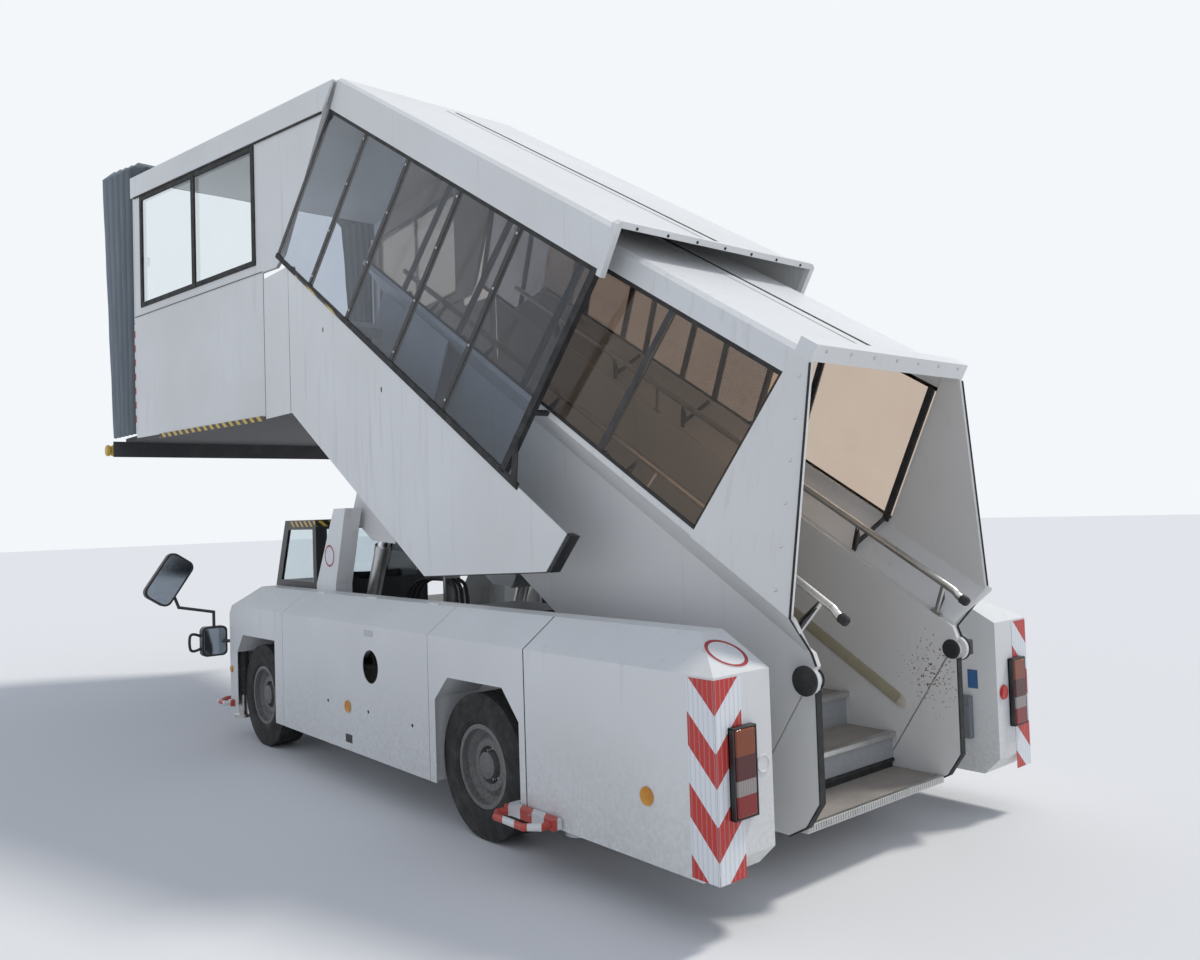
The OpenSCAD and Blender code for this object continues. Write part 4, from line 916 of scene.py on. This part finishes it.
# %% Shroud
FOLDS = 10
FOLD_DEEP, CORNER = 0.045, 0.12
rows = []
for i in range(FOLDS * 2 + 1):
    f = i / 2
    out = FOLD_DEEP * (0.5 - 0.5 * math.cos(math.pi * f))
    w, top = 1.3202 + 0.004 * f + out, 5.32 + 0.016 * f + out
    outline = [(-w, FLOOR_Z), (-w, top - CORNER), (-w + CORNER, top),
               (w - CORNER, top), (w, top - CORNER), (w, FLOOR_Z)]
    row = []
    for (y0, z0), (y1, z1), count in zip(outline, outline[1:], (26, 3, 24, 3, 26)):
        row += [(y0 + (y1 - y0) * k / count, z0 + (z1 - z0) * k / count) for k in range(count)]
    row.append(outline[-1])
    sag = [0.006 * math.sin(0.9 * k + f) + random.uniform(-0.003, 0.003) for k in range(len(row))]
    rows.append([at(-7.6406 - f * 0.062 - 0.012 * f * (z - FLOOR_Z) + slack, y * 0.998, z)
                 for (y, z), slack in zip(row, sag)])
start_fresh()
bpy.ops.mesh.primitive_grid_add(x_subdivisions=len(rows[0]) - 1, y_subdivisions=len(rows) - 1, size=1)
cloth = bpy.context.object
for vertex, place in zip(cloth.data.vertices, [place for row in rows for place in row]):
    vertex.co = place
settle(cloth, 60)
use_modifier(cloth, "SOLIDIFY", thickness=0.003, offset=0)
finished(settle(cloth, 60), "shroud_cloth", shroud_cloth, LANDING, ["platform_bellows"])

# %% [markdown]
# ## Wheels
# A tyre is one profile with four grooves, spun about its axle and copied to each wheel. The nuts stand
# in a ring on the disc.

# %% Tyres and nuts
TREAD_R, GROOVE_R, TREAD_BANDS = 0.383, 0.373, 5
tread = []
for k in range(TREAD_BANDS):
    y = -0.08 + 0.04 * k
    tread += [(TREAD_R, y - 0.0175), (TREAD_R, y + 0.0175)]
    if k < TREAD_BANDS - 1:
        tread += [(GROOVE_R, y + 0.018), (GROOVE_R, y + 0.022)]
side_wall = [(0.206, 0.086), (0.222, 0.091), (0.228, 0.103), (0.24, 0.106), (0.244, 0.11), (0.29, 0.1115),
             (0.294, 0.1095), (0.338, 0.1085), (0.342, 0.106), (0.368, 0.1015), (0.378, 0.0985)]
inner = [(0.222, 0.079), (0.322, 0.092), (0.357, 0.06), (0.357, -0.06), (0.322, -0.092), (0.222, -0.079)]
profile = [(r, -y) for r, y in side_wall] + tread + [(r, y) for r, y in reversed(side_wall)] + inner
one_tyre = turned(profile, (0, 0, 0), (0, 1, 0), 72)
HEXAGON = [(0, 0), (0.012, 0), (0.012, 0.012), (0.0095, 0.015), (0, 0.015)]
STUD = [(0, 0.014), (0.007, 0.014), (0.007, 0.024), (0, 0.0245)]
one_nut = joined([turned(HEXAGON, (0, 0, 0), (0, 1, 0), 6, 20), turned(STUD, (0, 0, 0), (0, 1, 0), 10)])
NUTS, NUT_CIRCLE = 10, 0.081
one_ring = spread(one_nut, [Matrix.Rotation(math.tau * k / NUTS, 4, "Y") @ shift(0, 0, NUT_CIRCLE)
                            for k in range(NUTS)])
AXLES, TRACK_HALF, WHEEL_R = {"f": -4.785, "r": -1.755}, 1.087, 0.384
for key in ("fl", "fr", "rl", "rr"):
    wheel, side = "wheel_" + key, -1 if key[1] == "l" else 1
    place = Matrix.Translation(at(AXLES[key[0]], side * TRACK_HALF, WHEEL_R))
    tyre = spread(copied(one_tyre), [place])
    finished(tyre, "dressed_tyre_" + key, tyre_rubber, wheel, ["tyre_" + key])
    turn = Matrix.Identity(4) if side > 0 else Matrix.Rotation(math.pi, 4, "Z")
    nuts = spread(copied(one_ring), [place @ turn @ shift(0, 0.008, 0)])
    finished(nuts, "wheel_nuts_" + key, steel, wheel)
bpy.data.objects.remove(one_tyre)
bpy.data.objects.remove(one_ring)

# %% [markdown]
# ## Cab and mirrors
# The cab is black around its windows and white above, with a striped band under the roof. The mirror
# glasses are thin plates on the rear faces of the heads.

# %% Cab
SILL_Z, ROOF_Z = 1.188, 1.712  # the black part of the cab lies between them
cab = Finish("cab_two_tone", 0.4)
height = cab.axis("Z")
runs = cab.band(cab.noise(0.05, 5, (1, 1, 0.06)), 0.5, 0.75, 0.0, 0.35)
white = cab.blend(runs, (0.76, 0.77, 0.77), (0.45, 0.44, 0.41))
dark = cab.blend(runs, (0.022, 0.023, 0.026), (0.1, 0.095, 0.09))
rear = cab.math("GREATER_THAN", cab.axis("X"), at(-4.46, 0, 0).x)
below_sill = cab.blend(rear, white, dark)
above_sill = cab.blend(cab.band(height, ROOF_Z, ROOF_Z + 0.001), dark, white)
cab.colour(cab.blend(cab.band(height, SILL_Z, SILL_Z + 0.002), below_sill, above_sill))
cab.bump(cab.noise(0.004, 2), 0.0004, 0.25)
for name in ("cab_shell", "cab_door"):
    nodes[name].data.materials[0] = cab.material
BAND_LOW, BAND_HIGH = 1.662, 1.706
band = side_panel(-0.9055, -4.9, -4.425, BAND_LOW, BAND_HIGH)
rear_band = [at(-4.4195, y, z) for y, z in rect(-0.9, 0.045, BAND_LOW, BAND_HIGH)]
finished(board(band, (0, -TAPE_THICK, 0), TAPE_EDGE, 1), "cab_side_band", hazard_small)
cab_rear = striped("hazard_across", (0, 1, 1.2), 0.085, TAPE_BLACK, TAPE_YELLOW, 0.6, worn=0.5)
finished(board(rear_band, (TAPE_THICK, 0, 0), TAPE_EDGE, 1), "cab_rear_band", cab_rear)

# %% Mirrors and wiper
mirror_glass = metal("mirror_glass", (0.42, 0.47, 0.52), 0.06, tarnish=(0.35, 0.38, 0.4))


def oval(width, height, radius, steps=6):
    """Corners of a rounded rectangle, width across y and height across z."""
    points = []
    for k, (sy, sz) in enumerate(((1, 1), (-1, 1), (-1, -1), (1, -1))):
        for step in range(steps + 1):
            angle = math.pi / 2 * (k + step / steps)
            points.append((sy * (width / 2 - radius) + radius * math.cos(angle),
                           sz * (height / 2 - radius) + radius * math.sin(angle)))
    return points


parts = []
for centre, tilt, size in (((-5.5715, 1.635, 1.27), 34, (0.2, 0.38, 0.05)),
                           ((-5.4595, 1.325, 0.755), 0, (0.17, 0.21, 0.035))):
    turn = Matrix.Rotation(math.radians(tilt), 4, "X")
    middle = at(*centre)
    outline = [middle + turn @ Vector((0, y, z)) for y, z in oval(*size)]
    parts.append(board(outline, (0.0015, 0, 0), 0.0005, 1))
finished(both(joined(parts)), "mirror_glasses", mirror_glass)
GUARD = ((1.42, 0.8), (1.5, 0.845), (1.515, 0.76), (1.5, 0.665), (1.42, 0.705))
guard = tube([at(-5.505, y, z) for y, z in GUARD], 0.011, 4)
finished(both(guard), "mirror_guards", black_plastic)
arm = [at(-5.225, -0.42, 1.185), at(-5.165, -0.44, 1.26), at(-5.085, -0.52, 1.38)]
blade = [at(-5.205, -0.3, 1.23), at(-5.035, -0.6, 1.44)]
finished(joined([tube(arm, 0.006, 3, False), tube(blade, 0.005, 3, False)]), "wiper", black_rubber)

# %% [markdown]
# ## Small parts of the body
# Blank plates, round plugs and a grey socket box sit on the body.

# %% Small parts
sign_blue = plastic("sign_blue", (0.03, 0.12, 0.3), 0.35, 0.003, (0.1, 0.2, 0.35))
socket_grey = plastic("socket_grey", (0.16, 0.18, 0.2), 0.5, 0.003, (0.24, 0.25, 0.26))
label_grey = plastic("label_grey", (0.55, 0.56, 0.57), 0.4, 0.003, (0.48, 0.48, 0.47))
PLATE_THICK, PLATE_EDGE = 0.0012, 0.0003
sign = side_panel(0.9185, -0.165, -0.107, 0.69, 0.79)
finished(board(sign, (0, -PLATE_THICK, 0), PLATE_EDGE, 1), "blank_blue_sign", sign_blue)
parts = [block(at(-0.212, 0.88, 0.421), at(-0.139, 0.9188, 0.65), 0.006, 3),
         block(at(-0.205, 0.873, 0.52), at(-0.146, 0.881, 0.6), 0.003)]
finished(joined(parts), "socket_box", socket_grey)
DOT = [(0, 0), (0.009, 0), (0.01, 0.002), (0.006, 0.004), (0, 0.0042)]
PLUG_PLACES = ((-3.496, 0.519), (-2.92, 0.521), (-2.373, 0.518))
for side, name in SIDES:
    dots = [turned(DOT, at(x, side * 1.2502, z), (0, side, 0), 14) for x, z in PLUG_PLACES]
    finished(joined(dots), "door_plugs_" + name, black_rubber, "side_door_" + name)
label = side_panel(-1.2503, -2.955, -2.84, 0.985, 1.024)
finished(board(label, (0, -PLATE_THICK, 0), PLATE_EDGE, 1), "blank_label", label_grey, "side_door_left")

# %% Rust by the rear hinge
cheek = Finish("cheek_white", 0.42)
near = cheek.band(cheek.distance(at(-0.16, 0.57, 0.82)), 0.06, 0.34, 0.6, 0.8)
specks = cheek.math("GREATER_THAN", cheek.noise(0.012, 2), near)
tone = cheek.band(cheek.noise(1.4, 3), 0.35, 0.7, 0.0, 0.25)
runs = cheek.band(cheek.noise(0.05, 5, (1, 1, 0.06)), 0.52, 0.75, 0.0, 0.3)
base = cheek.blend(cheek.math("MAXIMUM", tone, runs), (0.77, 0.77, 0.76), (0.5, 0.47, 0.42))
cheek.colour(cheek.blend(specks, base, (0.18, 0.07, 0.03)))
cheek.bump(cheek.noise(0.004, 2), 0.0004, 0.25)
for name in ("lower_walls", "foot_unit"):
    nodes[name].data.materials[0] = cheek.material
print("rust specks near the right hinge")

# %% [markdown]
# ## Joints and last small parts
# Thin dark strips close the joints of the landing and of the fairings, a tape marks the window sill, and
# two small slots sit in the sliding side panel.

# %% Joints
parts = [
    wall_board([(-7.59, eave(-7.59) + 0.004), (-4.3, eave(-4.3) + 0.004), (-4.3, eave(-4.3) + 0.018),
                (-7.59, eave(-7.59) + 0.018)], 0.0, 0.01),
    wall_board(rect(-7.598, -5.2, 3.768, 3.774), 0.004, 0.0025, 0.0005),
    board(side_panel(-0.9705, -4.68, -4.668, 2.56, 3.7), (0, -0.003, 0), 0.0005, 1),
    board(side_panel(-0.9705, -5.196, -5.191, 2.58, 3.76), (0, -0.0015, 0), 0.0003, 1),
]
finished(both(joined(parts)), "landing_joints", black_rubber, LANDING)
J0, J1, EDGE_Z = -1.268, -1.262, 1.05  # the joint runs up the side and over the slanting top
line = side_panel(-1.2503, J0, J1, 0.242, EDGE_Z)
top = [at(x, y, z) for x, y, z in ((J0, -1.2503, EDGE_Z), (J1, -1.2503, EDGE_Z),
                                   (J1, -1.0503, 1.1903), (J0, -1.0503, 1.1903))]
parts = [board(line, (0, -0.0008, 0), 0.0002, 1), board(top, (0, -0.0005, 0.0008), 0.0002, 1)]
finished(both(joined(parts)), "fairing_joints", black_rubber)
tape = strip(4.86, 5.72, 0.7065, 0.7195, upper_y, 0.0062, -TAPE_THICK)
finished(both(tape), "sill_tape", hazard_small, UPPER)
parts = [board(side_panel(-0.9802, x - 0.006, x + 0.006, z - 0.016, z + 0.016), (0, -0.002, 0), 0.0005, 1)
         for x, z in ((-4.046, 3.1), (-3.167, 2.558))]
finished(both(joined(parts)), "panel_slots", black_rubber, UPPER)

# %% [markdown]
# ## Driver's seat
# Two foam pads on a box. A pad starts as a finely cut cube: its faces swell in the middle, its sides
# pull in between the corners, and a subdivision smooths it.

# %% Seat


def cushion(low, high, swell):
    """A pad between two corners that is thickest in the middle along the axis swell."""
    start_fresh()
    bpy.ops.mesh.primitive_cube_add(size=2, location=(0, 0, 0))
    pad = bpy.context.object
    edit_all()
    bpy.ops.mesh.subdivide(number_cuts=9)
    bpy.ops.object.mode_set(mode="OBJECT")
    low, high = Vector(low), Vector(high)
    b, c = [axis for axis in range(3) if axis != swell]
    for vertex in pad.data.vertices:
        p = vertex.co.copy()
        q = p.copy()
        q[swell] = p[swell] * (1 - 0.2 * (p[b] ** 4 + p[c] ** 4))
        q[b] = p[b] * (1 - 0.035 * (1 - p[c] ** 2))
        q[c] = p[c] * (1 - 0.035 * (1 - p[b] ** 2))
        vertex.co = (low + high) / 2 + Vector(q[k] * (high[k] - low[k]) / 2 for k in range(3))
    use_modifier(pad, "SUBSURF", levels=1, render_levels=1)
    return settle(pad, 60)


pad = cushion(at(-4.82, -0.6, 0.742), at(-4.452, -0.16, 0.84), 2)
rest = cushion(at(-4.522, -0.595, 0.842), at(-4.447, -0.165, 1.299), 0)
for piece, name in ((pad, "seat_cushion"), (rest, "seat_back")):
    finished(piece, name, seat_fabric, "chassis", ["cab_seat"])
seat_box = block(at(-4.76, -0.52, 0.4953), at(-4.52, -0.24, 0.744), 0.004)
finished(seat_box, "seat_box", black_plastic)

# %% [markdown]
# ## Pipes behind the cab
# Three rigid pipes leave the top of the engine block, bend over its edge and end on a cross member of
# the chassis. A plate on the block and a flange on the member carry them.

# %% Pipes
PIPE = ((-3.4, 1.035), (-3.4, 1.18), (-3.48, 1.245), (-3.7, 1.25), (-3.96, 1.235), (-4.12, 1.12),
        (-4.12, 0.9), (-4.12, 0.555))
parts = [tube([at(x, y, z) for x, z in PIPE], 0.014, 4) for y in (-0.3, -0.255, -0.21)]
finished(joined(parts), "lift_pipes", black_plastic)
parts = [block(at(-3.555, -0.322, 1.036), at(-3.525, -0.188, 1.272), 0.004),
         block(at(-4.145, -0.325, 0.556), at(-4.095, -0.185, 0.58), 0.003)]
finished(joined(parts), "pipe_clamps", steel)

# %% [markdown]
# ## Landing floor
# The floor carries a grey mat, and its underside is near black, which is painted shade. Both are one
# material that changes just under the top of the floor.

# %% Floor finish
floor_mat = Finish("landing_floor", 0.7)
level = floor_mat.axis("Z")
worn = floor_mat.band(floor_mat.noise(0.15, 6), 0.4, 0.8, 0.0, 0.6)
mat = floor_mat.blend(worn, (0.2, 0.2, 0.195), (0.27, 0.26, 0.25))
# Painted shade: below the top of the floor the colour is near black.
below = floor_mat.blend(worn, (0.045, 0.046, 0.05), (0.09, 0.085, 0.08))
floor_mat.colour(floor_mat.blend(floor_mat.band(level, FLOOR_Z - 0.003, FLOOR_Z - 0.002), below, mat))
floor_mat.bump(floor_mat.noise(0.01, 3), 0.0008, 0.3)
nodes["platform_floor"].data.materials[0] = floor_mat.material
print("landing floor finished")
